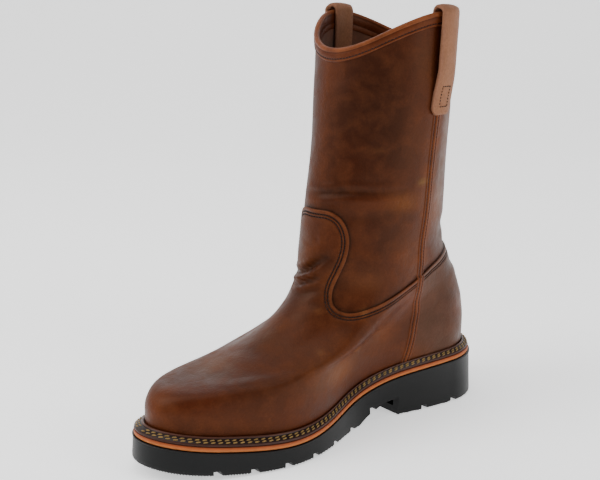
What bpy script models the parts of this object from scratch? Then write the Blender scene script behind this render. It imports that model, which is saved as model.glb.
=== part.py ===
"""Western work boot for the right foot: a pull-on leather boot on a welted, lugged rubber sole.

Metres, +Z up. The toe points along -Y and the foot's inner side faces +X.
The origin is the middle of the heel's tread, on the floor.
"""

import math

import bmesh
import bpy
import numpy as np
from mathutils.geometry import delaunay_2d_cdt

# Sole
LENGTH = 0.314
HEEL_LENGTH = 0.098
HEEL_WIDTH = 0.082
WAIST_WIDTH = 0.076
BALL_WIDTH = 0.110
TOE_WIDTH = 0.091
ARCH_PINCH = 0.008  # how far the inner side of the waist is drawn in
SWAY = 0.003  # how far the ball lies towards the inner side
OUTER_LAG = 0.03  # how much further back the outer side is widest, as a share of the length
HEEL_EDGE = 0.0365  # height of the rubber's top edge at the heel back
BALL_EDGE = 0.0145  # the same at the ball
TOE_EDGE = 0.027  # the same at the toe
TOE_SPRING = 0.009
SPRING_START = 0.74  # share of the length from which the toe springs up
SHANK_RISE = 0.015  # room under the waist, at the heel breast
SHANK_LENGTH = 0.042
SIDE_FLARE = 0.0012
MIDSOLE_THICKNESS = 0.0037
MIDSOLE_INSET = 0.0006
MIDSOLE_BULGE = 0.0005
INSOLE_THICKNESS = 0.004

# Tread
LUG_PITCH = 0.0254
LUG_GROOVE = 0.0045
LUG_DEPTH = 0.004
LUG_SLANT = 0.0025
TREAD_SPINE = 0.026
TREAD_EDGE = 0.0008  # bevel round the tread
BREAST_RIM = 0.006
BREAST_RECESS = 0.005
FIRST_GROOVE = 0.6  # where the first groove crosses the shank arch
HEEL_GROOVES = (0.44, 0.755)  # shares of the heel's length from its back
SHANK_ARCH = ((0.0, 1.0), (0.3, 0.86), (0.75, 0.34), (1.0, 0.0))  # its run forward and its rise
CUT_SPARE = 0.001

# Welt
WELT_INSET = 0.0012
WELT_THICKNESS = 0.0037
WELT_RIB = 0.0019

# Upper
INSTEP_HEIGHT = 0.091
SHAFT_HEIGHT = 0.276
SHAFT_DEPTH = 0.117
SHAFT_WIDTH = 0.110
SHAFT_TURN = math.radians(7)
COLLAR_DIP = 0.026
WALL = 0.0022
LEVEL_EDGE = 0.03  # how far from the welt and the collar the skin turns to face level
OVERLAY = 0.0012
BAND_HEIGHT = 0.0095
BAND_RISE = 0.0010
PIPING_RISE = 0.0011
PIPING_WIDTH = 0.0045

# Pull straps
STRAP_WIDTH = 0.022
STRAP_THICKNESS = 0.0028
STRAP_OUTSIDE = 0.074
STRAP_INSIDE = 0.056
STRAP_RISE = 0.0062  # top of the loop over the collar

CLEARANCE = 0.0003
BITE = 0.0008  # how deep a raised panel reaches into the wall that it is sewn to

HEEL_BACK = HEEL_LENGTH / 2

# Height of the rubber's top edge, as shares of the rise from the ball to the heel and to the toe.
SOLE_LINE = {
    "along": (0.00, 0.15, 0.30, 0.45, 0.68, 0.85, 1.00),
    "to_heel": (1.00, 0.95, 0.80, 0.34, 0.00, 0.00, 0.00),
    "to_toe": (0.00, 0.00, 0.00, 0.00, 0.00, 0.33, 1.00),
}

# Where a ring's widths at heel, waist, ball and toe stand, as shares of its length from the heel.
WIDTH_PLACES = (0.0, 0.16, 0.40, 0.69, 0.86, 1.0)
WIDTH_OF_PLACE = (0, 0, 1, 2, 3, 3)
SWAY_LINE = {"along": (0.0, 0.20, 0.45, 0.72, 1.0), "share": (0.0, 0.0, 0.6, 1.0, 0.55)}
ARCH_MIDDLE = 0.42
ARCH_REACH = 0.13

SOLE_ROUND = (0.135, 0.75)  # where the heel's round ends and the toe's begins

# Rings round the foot, from the welt up. Front and back are shares of the length from the heel back, and
# their rises are shares of the instep height. The widths are shares of the sole's own at the same place.
FOOT_COLUMNS = (
    "front", "front_rise", "back", "back_rise", "heel", "waist", "ball", "toe",
    "arch", "heel_round", "toe_round", "follow", "turn",
)
FOOT_RINGS = (
    (0.966, 0.00, 0.026, 0.00, 0.83, 0.79, 0.83, 0.83, 1.00, 0.13, 0.73, 1.0, 0.00),
    (0.967, 0.12, 0.028, 0.18, 0.88, 0.88, 0.87, 0.86, 0.80, 0.13, 0.73, 0.9, 0.00),
    (0.962, 0.225, 0.030, 0.32, 0.90, 0.92, 0.89, 0.89, 0.60, 0.13, 0.74, 0.7, 0.00),
    (0.942, 0.32, 0.033, 0.43, 0.90, 0.93, 0.89, 0.90, 0.45, 0.14, 0.73, 0.5, 0.00),
    (0.890, 0.38, 0.039, 0.51, 0.90, 0.94, 0.88, 0.87, 0.35, 0.14, 0.70, 0.4, 0.00),
    (0.808, 0.44, 0.048, 0.59, 0.90, 0.96, 0.88, 0.85, 0.22, 0.15, 0.65, 0.25, 0.00),
    (0.695, 0.585, 0.061, 0.71, 0.90, 1.00, 0.84, 0.81, 0.10, 0.18, 0.58, 0.1, 0.00),
    (0.598, 0.77, 0.076, 0.83, 0.93, 1.08, 0.82, 0.85, 0.00, 0.22, 0.50, 0.0, 0.15),
    (0.543, 1.00, 0.094, 0.98, 0.95, 1.13, 0.79, 0.85, 0.00, 0.30, 0.50, 0.0, 0.30),
)

# Rings round the shaft. Rises are shares of its height over the heel's seat, depth and widths are shares
# of the collar's, and the centre is a share of the sole's length from the heel back.
SHAFT_COLUMNS = (
    "front_rise", "back_rise", "depth", "centre", "heel", "waist", "ball", "toe", "heel_round", "turn",
)
SHAFT_RINGS = (
    (0.356, 0.388, 1.15, 0.314, 0.75, 0.80, 0.80, 0.75, 0.40, 0.50),
    (0.486, 0.489, 1.14, 0.304, 0.78, 0.84, 0.82, 0.76, 0.45, 0.85),
    (0.649, 0.649, 1.07, 0.292, 0.84, 0.91, 0.87, 0.82, 0.48, 1.00),
    (0.800, 0.800, 1.02, 0.285, 0.89, 0.98, 0.93, 0.87, 0.48, 1.00),
    (1.000, 1.000, 1.00, 0.276, 0.93, 1.00, 0.96, 0.91, 0.48, 1.00),
)
DIP_START = 0.80  # how far up the boot the collar's scallop begins to pull the rings down

# Section of the welt. Across runs from the upper, 0, to the sole's edge, 1.
WELT_COLUMNS = ("across", "thickness", "rib")
WELT_SECTION = (
    (1.00, 0.00, 0.0),
    (1.00, 0.62, 0.0),
    (0.93, 0.72, 0.0),
    (0.42, 1.00, 0.0),
    (0.36, 1.00, 1.0),
    (0.08, 1.00, 1.0),
    (0.00, 1.00, 0.7),
    (0.00, 0.00, 0.0),
)

# Top edge of the raised foot panel on one side: over the tongue, down round its scallop, and back to the
# heel. Around is in degrees from the front line, up is a share of the way from the welt to the collar.
PANEL_EDGE = {
    "around": (0, 16, 27, 34, 38, 38, 35, 33, 34, 39, 47, 57, 68, 82, 98, 116, 142, 165, 180),
    "up": (
        0.565, 0.564, 0.552, 0.530, 0.500, 0.465, 0.435, 0.412, 0.392, 0.370,
        0.352, 0.341, 0.347, 0.360, 0.374, 0.396, 0.408, 0.416, 0.424,
    ),
}
PANEL_FOOT = 0.003  # where the panel starts over the welt, on the same scale

# The side seam's angle from the front line, in degrees, up the boot.
SEAM = {
    "up": (0.02, 0.10, 0.20, 0.34, 0.48, 0.66, 0.80, 1.00),
    "around": (117, 115, 108, 99, 96, 91, 92, 94),
}

SCALLOP_END = 57  # from this angle the panel's edge runs steadily back

SIDES = ((1, "inner"), (-1, "outer"))

ROUND_STEPS = 56
OUTER_RINGS = 28
INNER_RINGS = 24
EDGE_STEPS = 3
EDGE_ROOM = 0.4  # how near the lattice comes to a panel's edge, as a share of its own step
PIPING_SECTION = ((-1, 0.0), (-1, 0.4), (-0.5, 1.0), (0.5, 1.0), (1, 0.4), (1, 0.0))  # across, and its rise
PIPING_STEPS = 32
PIPING_FOOT = 0.03
PANEL_EASE = 0.012  # how far the piping takes to step down from the panel, as a share of the way up
STRAP_LIFT = 0.0024  # how far its free outer half stands off the shaft
SEWN_LENGTH = 0.008  # lies flat at its lower end
LIFT_LENGTH = 0.028  # from there to its full lift
STRAP_END = 0.75

LEATHER = ("leather", (0.17, 0.075, 0.042), 0.55)
STRAP_LEATHER = ("strap_leather", (0.15, 0.075, 0.050), 0.6)
WELT_LEATHER = ("welt_leather", (0.07, 0.045, 0.035), 0.6)
CREPE = ("crepe", (0.56, 0.20, 0.065), 0.55)
RUBBER = ("rubber", (0.022, 0.024, 0.022), 0.6)
INSOLE_BOARD = ("insole_board", (0.30, 0.20, 0.12), 0.85)


def smooth(at, knots, values):
    """A cubic curve through the values at the knots, level beyond them."""
    at = np.asarray(at, float)
    knots = np.asarray(knots, float)
    values = np.asarray(values, float)
    column = (-1,) + (1,) * (values.ndim - 1)
    steps = np.diff(knots)
    slopes = np.diff(values, axis=0) / steps.reshape(column)
    before, after = steps[:-1].reshape(column), steps[1:].reshape(column)
    inner = (slopes[:-1] * after + slopes[1:] * before) / (before + after)
    tangents = np.concatenate([slopes[:1], inner, slopes[-1:]])
    at = np.clip(at, knots[0], knots[-1])
    i = np.clip(np.searchsorted(knots, at, side="right") - 1, 0, len(steps) - 1)
    shape = at.shape + (1,) * (values.ndim - 1)
    width = steps[i].reshape(shape)
    t = ((at - knots[i]) / steps[i]).reshape(shape)
    return (
        (1 + 2 * t) * (1 - t) ** 2 * values[i]
        + t * (1 - t) ** 2 * width * tangents[i]
        + t * t * (3 - 2 * t) * values[i + 1]
        + t * t * (t - 1) * width * tangents[i + 1]
    )


def sole_edge(y):
    """Height of the rubber's top edge."""
    along = (HEEL_BACK - y) / LENGTH
    to_heel = smooth(along, SOLE_LINE["along"], SOLE_LINE["to_heel"])
    to_toe = smooth(along, SOLE_LINE["along"], SOLE_LINE["to_toe"])
    return BALL_EDGE + (HEEL_EDGE - BALL_EDGE) * to_heel + (TOE_EDGE - BALL_EDGE) * to_toe


def seat(y):
    """Height on which welt, upper and insole stand."""
    return sole_edge(y) + MIDSOLE_THICKNESS + 2 * CLEARANCE


def tread(y):
    """Height of the tread, which springs up under the toe."""
    along = (HEEL_BACK - y) / LENGTH
    return TOE_SPRING * np.clip((along - SPRING_START) / (1 - SPRING_START), 0, 1) ** 2


def ring_outline(around, front, back, widths, arch, heel_round, toe_round):
    """X and Y of a ring at each angle, from 0 at the toe to a half turn at the heel."""
    along = 0.5 + 0.5 * np.cos(around)
    side = np.where(np.sin(around) >= 0, 1.0, -1.0)
    lag = np.where(side < 0, OUTER_LAG, 0)
    share = smooth(along + lag, WIDTH_PLACES, np.eye(len(WIDTH_PLACES)))
    half = sum(share[..., place] * widths[which] / 2 for place, which in enumerate(WIDTH_OF_PLACE))
    heel = 1 - np.clip(1 - along / heel_round, 0, 1) ** 2
    toe = 1 - np.clip((along - toe_round) / (1 - toe_round), 0, 1) ** 2.2
    half = half * np.sqrt(np.clip(heel, 0, 1) * np.clip(toe, 0, 1))
    pinch = arch * np.exp(-(((along - ARCH_MIDDLE) / ARCH_REACH) ** 2))
    middle = SWAY * smooth(along, SWAY_LINE["along"], SWAY_LINE["share"])
    x = middle + side * half - np.where(side > 0, pinch, 0)
    y = back + (front - back) * along
    return x, y, along


def section_values():
    """Each ring of the upper in metres and radians, from the welt to the collar."""
    sole = np.array((HEEL_WIDTH, WAIST_WIDTH, BALL_WIDTH, TOE_WIDTH))
    rows = []
    for values in FOOT_RINGS:
        ring = dict(zip(FOOT_COLUMNS, values))
        front = HEEL_BACK - ring["front"] * LENGTH
        back = HEEL_BACK - ring["back"] * LENGTH
        front_height = seat(front) + ring["front_rise"] * INSTEP_HEIGHT
        back_height = seat(back) + ring["back_rise"] * INSTEP_HEIGHT
        widths = sole * (ring["heel"], ring["waist"], ring["ball"], ring["toe"])
        rounds = (ring["heel_round"], ring["toe_round"])
        arch = ring["arch"] * ARCH_PINCH
        turn = ring["turn"] * SHAFT_TURN
        rows.append((front, front_height, back, back_height, *widths, arch, *rounds, ring["follow"], turn))
    for values in SHAFT_RINGS:
        ring = dict(zip(SHAFT_COLUMNS, values))
        middle = HEEL_BACK - ring["centre"] * LENGTH
        reach = ring["depth"] * SHAFT_DEPTH / 2
        front_height = seat(HEEL_BACK) + ring["front_rise"] * SHAFT_HEIGHT
        back_height = seat(HEEL_BACK) + ring["back_rise"] * SHAFT_HEIGHT
        widths = [ring[name] * SHAFT_WIDTH for name in ("heel", "waist", "ball", "toe")]
        turn = ring["turn"] * SHAFT_TURN
        rows.append((
            middle - reach, front_height, middle + reach, back_height,
            *widths, 0, ring["heel_round"], 0.5, 0, turn,
        ))
    return np.array(rows)


SECTIONS = section_values()
front_steps = np.hypot(np.diff(SECTIONS[:, 0]), np.diff(SECTIONS[:, 1]))
back_steps = np.hypot(np.diff(SECTIONS[:, 2]), np.diff(SECTIONS[:, 3]))
ring_steps = front_steps + back_steps
SECTION_PLACES = np.concatenate([[0], np.cumsum(ring_steps)]) / ring_steps.sum()
SHAFT_STEP = (SECTION_PLACES[-1] - SECTION_PLACES[-2]) / (SECTIONS[-1, 1] - SECTIONS[-2, 1])
BAND_START = 1 - BAND_HEIGHT * SHAFT_STEP
OUTER_PLACES = np.linspace(0, BAND_START, OUTER_RINGS)
UNROLLED = np.array((SHAFT_WIDTH / 2, ring_steps.sum() / 2))
LATTICE = UNROLLED[1] / OUTER_RINGS


def skin(around, up):
    """Points on the upper's outside at an angle from its front line, from the welt, 0, to the collar, 1."""
    around, up = np.broadcast_arrays(np.asarray(around, float), np.asarray(up, float))
    values = np.moveaxis(smooth(up, SECTION_PLACES, SECTIONS), -1, 0)
    front, front_height, back, back_height = values[:4]
    arch, heel_round, toe_round, follow, turn = values[8:]
    x, y, along = ring_outline(around, front, back, values[4:8], arch, heel_round, toe_round)
    chord = sole_edge(back) + (sole_edge(front) - sole_edge(back)) * along
    z = back_height + (front_height - back_height) * along + follow * (sole_edge(y) - chord)
    dip = np.clip((up - DIP_START) / (BAND_START - DIP_START), 0, 1)
    z = z - COLLAR_DIP * np.cos(around) ** 2 * dip * dip * (3 - 2 * dip)
    middle = (front + back) / 2
    turned_x = x * np.cos(turn) - (y - middle) * np.sin(turn)
    turned_y = middle + x * np.sin(turn) + (y - middle) * np.cos(turn)
    return np.stack([turned_x, turned_y, z], axis=-1)


def upper_point(around, up, out=0.0):
    """A point that far outside the upper's skin. At the welt and the collar the skin faces level."""
    around, up = np.broadcast_arrays(np.asarray(around, float), np.asarray(up, float))
    step = 1e-4
    across = skin(around + step, up) - skin(around - step, up)
    rise = skin(around, np.clip(up + step, 0, 1)) - skin(around, np.clip(up - step, 0, 1))
    normal = np.cross(across, rise)
    normal[..., 2] *= np.clip(np.minimum(up, 1 - up) / LEVEL_EDGE, 0, 1)
    normal /= np.linalg.norm(normal, axis=-1, keepdims=True)
    return skin(around, up) + np.asarray(out)[..., None] * normal


def angle_for(width, around, up):
    """The angle that this width takes up on the skin."""
    step = 1e-4
    reach = np.linalg.norm(skin(around + step, up) - skin(around - step, up), axis=-1) / (2 * step)
    return width / reach


def seam_angle(up):
    return np.radians(smooth(up, SEAM["up"], SEAM["around"]))


def sole_outline(around, grow=0.0):
    """X and Y of the sole's edge, grown or shrunk all round."""
    front = HEEL_BACK - LENGTH - grow
    back = HEEL_BACK + grow
    widths = [width + 2 * grow for width in (HEEL_WIDTH, WAIST_WIDTH, BALL_WIDTH, TOE_WIDTH)]
    x, y, _ = ring_outline(around, front, back, widths, ARCH_PINCH, *SOLE_ROUND)
    return x, y


def new_object(name, mesh, collection, finish=None):
    thing = bpy.data.objects.new(name, mesh)
    collection.objects.link(thing)
    if finish:
        title, colour, roughness = finish
        material = bpy.data.materials.get(title) or bpy.data.materials.new(title)
        material.use_nodes = True
        shader = material.node_tree.nodes["Principled BSDF"]
        shader.inputs["Base Color"].default_value = (*colour, 1)
        shader.inputs["Roughness"].default_value = roughness
        shader.inputs["Metallic"].default_value = 0
        material.diffuse_color = (*colour, 1)
        mesh.materials.append(material)
        mesh.shade_smooth()
        mesh.set_sharp_from_angle(angle=math.radians(35))
    else:
        thing.hide_render = True
        thing.display_type = "WIRE"
    return thing


def ring_mesh(name, rings, closed=False):
    """A skin over rings of points: a closed tube of rings, or a stack with its two ends laid across."""
    shape = bmesh.new()
    rows = [[shape.verts.new(point) for point in ring] for ring in rings]
    count = len(rows[0])
    pairs = list(zip(rows, rows[1:]))
    if closed:
        pairs.append((rows[-1], rows[0]))
    for low, high in pairs:
        for i in range(count):
            j = (i + 1) % count
            shape.faces.new((low[i], low[j], high[j], high[i]))
    if not closed:
        for row in (rows[0], rows[-1]):
            for i in range(count // 2):
                corners = (row[i], row[i + 1], row[-i - 1], row[-i])
                shape.faces.new(dict.fromkeys(corners))
    bmesh.ops.recalc_face_normals(shape, faces=shape.faces)
    mesh = bpy.data.meshes.new(name)
    shape.to_mesh(mesh)
    shape.free()
    return mesh


def plate(name, levels, collection, finish=None):
    """A plate from its levels, each the outline's growth and the height at a place along the sole."""
    around = np.linspace(0, 2 * math.pi, ROUND_STEPS, endpoint=False)
    rings = []
    for grow, height in levels:
        x, y = sole_outline(around, grow)
        rings.append(np.stack([x, y, height(y)], axis=-1))
    return new_object(name, ring_mesh(name, rings), collection, finish)


def block(name, corners, width, collection):
    """A cutter: a side view's outline, as Y and Z, drawn right through the boot's width."""
    shape = bmesh.new()
    face = shape.faces.new([shape.verts.new((-width / 2, y, z)) for y, z in corners])
    grown = bmesh.ops.extrude_face_region(shape, geom=[face])
    moved = [item for item in grown["geom"] if isinstance(item, bmesh.types.BMVert)]
    bmesh.ops.translate(shape, vec=(width, 0, 0), verts=moved)
    bmesh.ops.recalc_face_normals(shape, faces=shape.faces)
    mesh = bpy.data.meshes.new(name)
    shape.to_mesh(mesh)
    shape.free()
    return new_object(name, mesh, collection)


def cut(body, cutter, operation="DIFFERENCE"):
    modifier = body.modifiers.new(cutter.name, "BOOLEAN")
    modifier.operation = operation
    modifier.solver = "EXACT"
    modifier.object = cutter


def groove(name, place, side, collection):
    """A tread groove from one side of the sole to the spine, with one slanted wall."""
    half = LUG_GROOVE / 2
    reach = BALL_WIDTH
    section = (
        (place - half, -CUT_SPARE),
        (place + half + LUG_SLANT, -CUT_SPARE),
        (place + half, LUG_DEPTH),
        (place - half, LUG_DEPTH),
    )
    shape = block(name, section, reach, collection)
    shape.location.x = side * (reach + TREAD_SPINE) / 2
    return shape


def make_outsole(parts, cutters):
    levels = (
        (SIDE_FLARE - TREAD_EDGE, tread),
        (SIDE_FLARE, lambda y: tread(y) + TREAD_EDGE),
        (0.0, sole_edge),
    )
    outsole = plate("outsole", levels, parts, RUBBER)
    breast = HEEL_BACK - HEEL_LENGTH
    arch = [(breast - place * SHANK_LENGTH, rise * SHANK_RISE) for place, rise in SHANK_ARCH]
    room = [(breast, -CUT_SPARE), (breast, SHANK_RISE), *arch[1:], (breast - SHANK_LENGTH, -CUT_SPARE)]
    cut(outsole, block("shank_arch", room, 2 * BALL_WIDTH, cutters))
    pocket = (
        (breast - CUT_SPARE, BREAST_RIM),
        (breast + BREAST_RECESS, BREAST_RIM),
        (breast + BREAST_RECESS, SHANK_RISE - CUT_SPARE),
        (breast - CUT_SPARE, SHANK_RISE - CUT_SPARE),
    )
    cut(outsole, block("breast_recess", pocket, HEEL_WIDTH - 4 * BREAST_RIM, cutters))
    places = [HEEL_BACK - share * HEEL_LENGTH for share in HEEL_GROOVES]
    place = breast - FIRST_GROOVE * SHANK_LENGTH
    while place > HEEL_BACK - LENGTH + LUG_PITCH:
        places.append(place)
        place -= LUG_PITCH
    for number, place in enumerate(places):
        waist, under = zip(*reversed(arch))
        height = np.interp(place, waist, under) if place < breast else 0.0
        height += float(tread(np.array(place)))
        for side in (-1, 1):
            cutter = groove(f"groove_{number}_{side}", place, side, cutters)
            cutter.location.z = height
            cut(outsole, cutter)
    return outsole


def make_midsole(parts):
    low = CLEARANCE
    high = CLEARANCE + MIDSOLE_THICKNESS
    edge = 0.2 * MIDSOLE_THICKNESS
    inset = -MIDSOLE_INSET - MIDSOLE_BULGE
    levels = (
        (inset, lambda y: sole_edge(y) + low),
        (-MIDSOLE_INSET, lambda y: sole_edge(y) + low + edge),
        (-MIDSOLE_INSET, lambda y: sole_edge(y) + high - edge),
        (inset, lambda y: sole_edge(y) + high),
    )
    return plate("midsole", levels, parts, CREPE)


def make_welt(parts):
    around = np.linspace(0, 2 * math.pi, ROUND_STEPS, endpoint=False)
    outer_x, outer_y = sole_outline(around, -WELT_INSET)
    rings = []
    for values in WELT_SECTION:
        row = dict(zip(WELT_COLUMNS, values))
        rise = row["thickness"] * WELT_THICKNESS + row["rib"] * WELT_RIB
        up = SECTION_PLACES[1] * rise / (FOOT_RINGS[1][1] * INSTEP_HEIGHT)
        inner = upper_point(around, up, OVERLAY + CLEARANCE)
        x = inner[:, 0] + (outer_x - inner[:, 0]) * row["across"]
        y = inner[:, 1] + (outer_y - inner[:, 1]) * row["across"]
        rings.append(np.stack([x, y, seat(y) + rise], axis=-1))
    return new_object("welt", ring_mesh("welt", rings, closed=True), parts, WELT_LEATHER)


def make_insole(parts):
    around = np.linspace(0, 2 * math.pi, ROUND_STEPS, endpoint=False)
    outline = upper_point(around, 0.0, -WALL - CLEARANCE)
    rings = []
    for rise in (0.0, INSOLE_THICKNESS):
        ring = outline.copy()
        ring[:, 2] = seat(ring[:, 1]) + rise
        rings.append(ring)
    return new_object("insole", ring_mesh("insole", rings), parts, INSOLE_BOARD)


def panel_outline():
    """The foot panel's outline, unrolled right round the boot: angle from the front line, and place up."""
    edge = np.stack([np.radians(PANEL_EDGE["around"]), PANEL_EDGE["up"]], axis=-1)
    places = np.arange(len(edge))
    fine = smooth(np.linspace(0, places[-1], EDGE_STEPS * places[-1] + 1), places, edge)
    top = np.concatenate([fine[::-1], fine[1:] * (-1, 1)])
    foot = np.linspace(-math.pi, math.pi, ROUND_STEPS + 1)
    return np.concatenate([np.stack([foot, np.full_like(foot, PANEL_FOOT)], axis=-1), top])


def panel_faces(outline):
    """Places on the skin, and faces between them, that fill an outline meeting itself at the back."""
    around = np.linspace(-math.pi, math.pi, ROUND_STEPS + 1)
    lattice = np.stack(np.meshgrid(around, OUTER_PLACES[1:]), axis=-1).reshape(-1, 2)
    gaps = np.linalg.norm((lattice[:, None] - outline[None]) * UNROLLED, axis=-1).min(axis=1)
    points = np.concatenate([outline, lattice[gaps > EDGE_ROOM * LATTICE]]) * UNROLLED
    found = delaunay_2d_cdt([tuple(point) for point in points], [], [list(range(len(outline)))], 1, 1e-6)
    flat = np.array([tuple(point) for point in found[0]]) / UNROLLED
    names = {}
    places = []
    welded = []
    for angle, up in flat:
        key = (round(math.cos(angle), 5), round(math.sin(angle), 5), round(up, 5))
        if key not in names:
            names[key] = len(names)
            places.append((angle, up))
        welded.append(names[key])
    return np.array(places), [[welded[corner] for corner in face] for face in found[2]]


def panel_mesh(name, outline, low, high):
    """A closed sheet over the outline, between two offsets of the skin."""
    places, faces = panel_faces(outline)
    shape = bmesh.new()
    layers = []
    for out in (low, high):
        placed = upper_point(places[:, 0], places[:, 1], out)
        layers.append([shape.verts.new(point) for point in placed])
    inner, outer = layers
    sides = {(face[i - 1], face[i]) for face in faces for i in range(len(face))}
    for face in faces:
        shape.faces.new([inner[i] for i in reversed(face)])
        shape.faces.new([outer[i] for i in face])
    for a, b in sorted(sides):
        if (b, a) not in sides:
            shape.faces.new((inner[a], inner[b], outer[b], outer[a]))
    loose = [vert for vert in shape.verts if not vert.link_faces]
    bmesh.ops.delete(shape, geom=loose, context="VERTS")
    bmesh.ops.recalc_face_normals(shape, faces=shape.faces)
    mesh = bpy.data.meshes.new(name)
    shape.to_mesh(mesh)
    shape.free()
    return mesh


def up_at_height(around, height):
    """How far up the shaft the skin reaches a height, at one angle."""
    places = np.linspace(0.4, 1, 121)
    return np.interp(height, skin(around, places)[:, 2], places)


def panel_top(angle):
    """How far up the foot panel reaches, on the side of the boot or its back."""
    start = PANEL_EDGE["around"].index(SCALLOP_END)
    return np.interp(math.degrees(angle), PANEL_EDGE["around"][start:], PANEL_EDGE["up"][start:])


def piping_mesh(name, side):
    """The raised strip over a side seam, from the welt to the pull strap."""
    collar = skin(seam_angle(1.0), 1.0)[2]
    top = up_at_height(float(seam_angle(0.8)), collar - STRAP_OUTSIDE - 3 * CLEARANCE)
    junction = panel_top(seam_angle(0.4))
    rings = []
    for up in np.linspace(PIPING_FOOT, float(top), PIPING_STEPS):
        middle = seam_angle(up)
        half = angle_for(PIPING_WIDTH / 2, middle, up)
        over_panel = np.clip((junction - up) / PANEL_EASE, 0, 1)
        base = OVERLAY * over_panel
        ring = []
        for across, lift in PIPING_SECTION:
            out = base + lift * PIPING_RISE if lift else -BITE
            ring.append(upper_point(side * (middle + across * half), up, out))
        rings.append(ring)
    return ring_mesh(name, rings)


def make_upper(parts, cutters):
    around = np.linspace(0, 2 * math.pi, ROUND_STEPS, endpoint=False)
    rings = [upper_point(around, up, 0.0) for up in OUTER_PLACES]
    rings += [upper_point(around, up, BAND_RISE) for up in (BAND_START, 1.0)]
    rings += [upper_point(around, up, -WALL) for up in np.linspace(1, 0, INNER_RINGS)]
    upper = new_object("upper", ring_mesh("upper", rings, closed=True), parts, LEATHER)
    panel = new_object("foot_panel", panel_mesh("foot_panel", panel_outline(), -BITE, OVERLAY), cutters)
    cut(upper, panel, "UNION")
    for side, name in SIDES:
        piping = new_object(f"piping_{name}", piping_mesh(f"piping_{name}", side), cutters)
        cut(upper, piping, "UNION")
    return upper


def strap_path():
    """The loop's middle line and its way out, as distance out of the skin and height over the rim."""
    outside = CLEARANCE + STRAP_THICKNESS / 2
    lifted = outside + STRAP_LIFT
    inside = -WALL - outside
    radius = (lifted - inside) / 2
    spring = STRAP_RISE - STRAP_THICKNESS / 2 - radius
    path = []
    for height in np.linspace(-STRAP_OUTSIDE, 0.0, 13):
        share = np.clip((height + STRAP_OUTSIDE - SEWN_LENGTH) / LIFT_LENGTH, 0, 1)
        path.append((outside + STRAP_LIFT * share * share * (3 - 2 * share), height, 1.0, 0.0))
    for turn in np.linspace(0, math.pi, 9):
        out, up = math.cos(turn), math.sin(turn)
        path.append(((lifted + inside) / 2 + radius * out, spring + radius * up, out, up))
    for height in np.linspace(0.0, -STRAP_INSIDE, 5):
        path.append((inside, height, -1.0, 0.0))
    return path


def make_strap(name, side, parts):
    """A pull strap: a band of leather laid over the collar, that follows the shaft's curve."""
    middle = float(seam_angle(1.0))
    rings = []
    path = strap_path()
    for number, (out, height, facing_out, facing_up) in enumerate(path):
        rim = skin(middle, 1.0)[2]
        up = up_at_height(middle, rim + min(height, 0.0))
        half = angle_for(STRAP_WIDTH / 2, middle, up)
        if number in (0, len(path) - 1):
            half = half * STRAP_END
        ring = []
        for face, shares in ((0.5, (-1, -0.5, 0, 0.5, 1)), (-0.5, (1, 0.5, 0, -0.5, -1))):
            for share in shares:
                reach = face * STRAP_THICKNESS
                point = upper_point(side * (middle + share * half), up, out + reach * facing_out)
                point[2] += max(height, 0.0) + reach * facing_up
                ring.append(point)
        rings.append(ring)
    return new_object(name, ring_mesh(name, rings), parts, STRAP_LEATHER)


def main():
    for thing in list(bpy.data.objects):
        bpy.data.objects.remove(thing, do_unlink=True)
    parts = bpy.data.collections.new("western_work_boot")
    cutters = bpy.data.collections.new("cutters")
    for collection in (parts, cutters):
        bpy.context.scene.collection.children.link(collection)
    make_outsole(parts, cutters)
    make_midsole(parts)
    make_welt(parts)
    make_insole(parts)
    make_upper(parts, cutters)
    for side, name in SIDES:
        make_strap(f"strap_{name}", side, parts)


main()
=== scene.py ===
# Looks of the western work boot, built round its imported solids.
# Metres, +Z up. The toe points along -Y and the foot's inner side faces +X.

import math

import bmesh
import bpy
import numpy as np
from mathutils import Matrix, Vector
from mathutils.geometry import delaunay_2d_cdt


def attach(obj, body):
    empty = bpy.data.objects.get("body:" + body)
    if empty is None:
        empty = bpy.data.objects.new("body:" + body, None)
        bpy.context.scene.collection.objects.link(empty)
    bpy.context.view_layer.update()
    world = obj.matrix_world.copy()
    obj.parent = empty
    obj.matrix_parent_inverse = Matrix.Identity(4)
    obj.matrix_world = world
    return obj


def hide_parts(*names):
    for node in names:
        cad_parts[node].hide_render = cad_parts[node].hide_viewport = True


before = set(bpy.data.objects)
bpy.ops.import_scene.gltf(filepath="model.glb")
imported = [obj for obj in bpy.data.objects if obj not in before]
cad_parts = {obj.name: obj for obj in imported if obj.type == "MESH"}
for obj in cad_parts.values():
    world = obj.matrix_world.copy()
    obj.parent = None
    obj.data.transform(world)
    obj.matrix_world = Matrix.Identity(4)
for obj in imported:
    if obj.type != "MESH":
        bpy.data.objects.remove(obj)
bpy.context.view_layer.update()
print("loaded the frame of", len(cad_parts), "solids")
mm = 0.001

sole = {
    "length": 0.314,
    "heelLength": 0.098,
    "widths": (0.082, 0.076, 0.110, 0.091),  # heel, waist, ball, toe
    "archPinch": 0.008,
    "sway": 0.003,
    "outerLag": 0.03,
    "heelEdge": 0.0365,
    "ballEdge": 0.0145,
    "toeEdge": 0.027,
    "toeSpring": 0.009,
    "springStart": 0.74,
    "rounds": (0.135, 0.75),
}
heelBack = sole["heelLength"] / 2
soleLine = {
    "along": (0.00, 0.15, 0.30, 0.45, 0.68, 0.85, 1.00),
    "toHeel": (1.00, 0.95, 0.80, 0.34, 0.00, 0.00, 0.00),
    "toToe": (0.00, 0.00, 0.00, 0.00, 0.00, 0.33, 1.00),
}
widthPlaces = (0.0, 0.16, 0.40, 0.69, 0.86, 1.0)
widthOfPlace = (0, 0, 1, 2, 3, 3)
swayLine = {"along": (0.0, 0.20, 0.45, 0.72, 1.0), "share": (0.0, 0.0, 0.6, 1.0, 0.55)}
archMiddle = 0.42
archReach = 0.13

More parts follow.
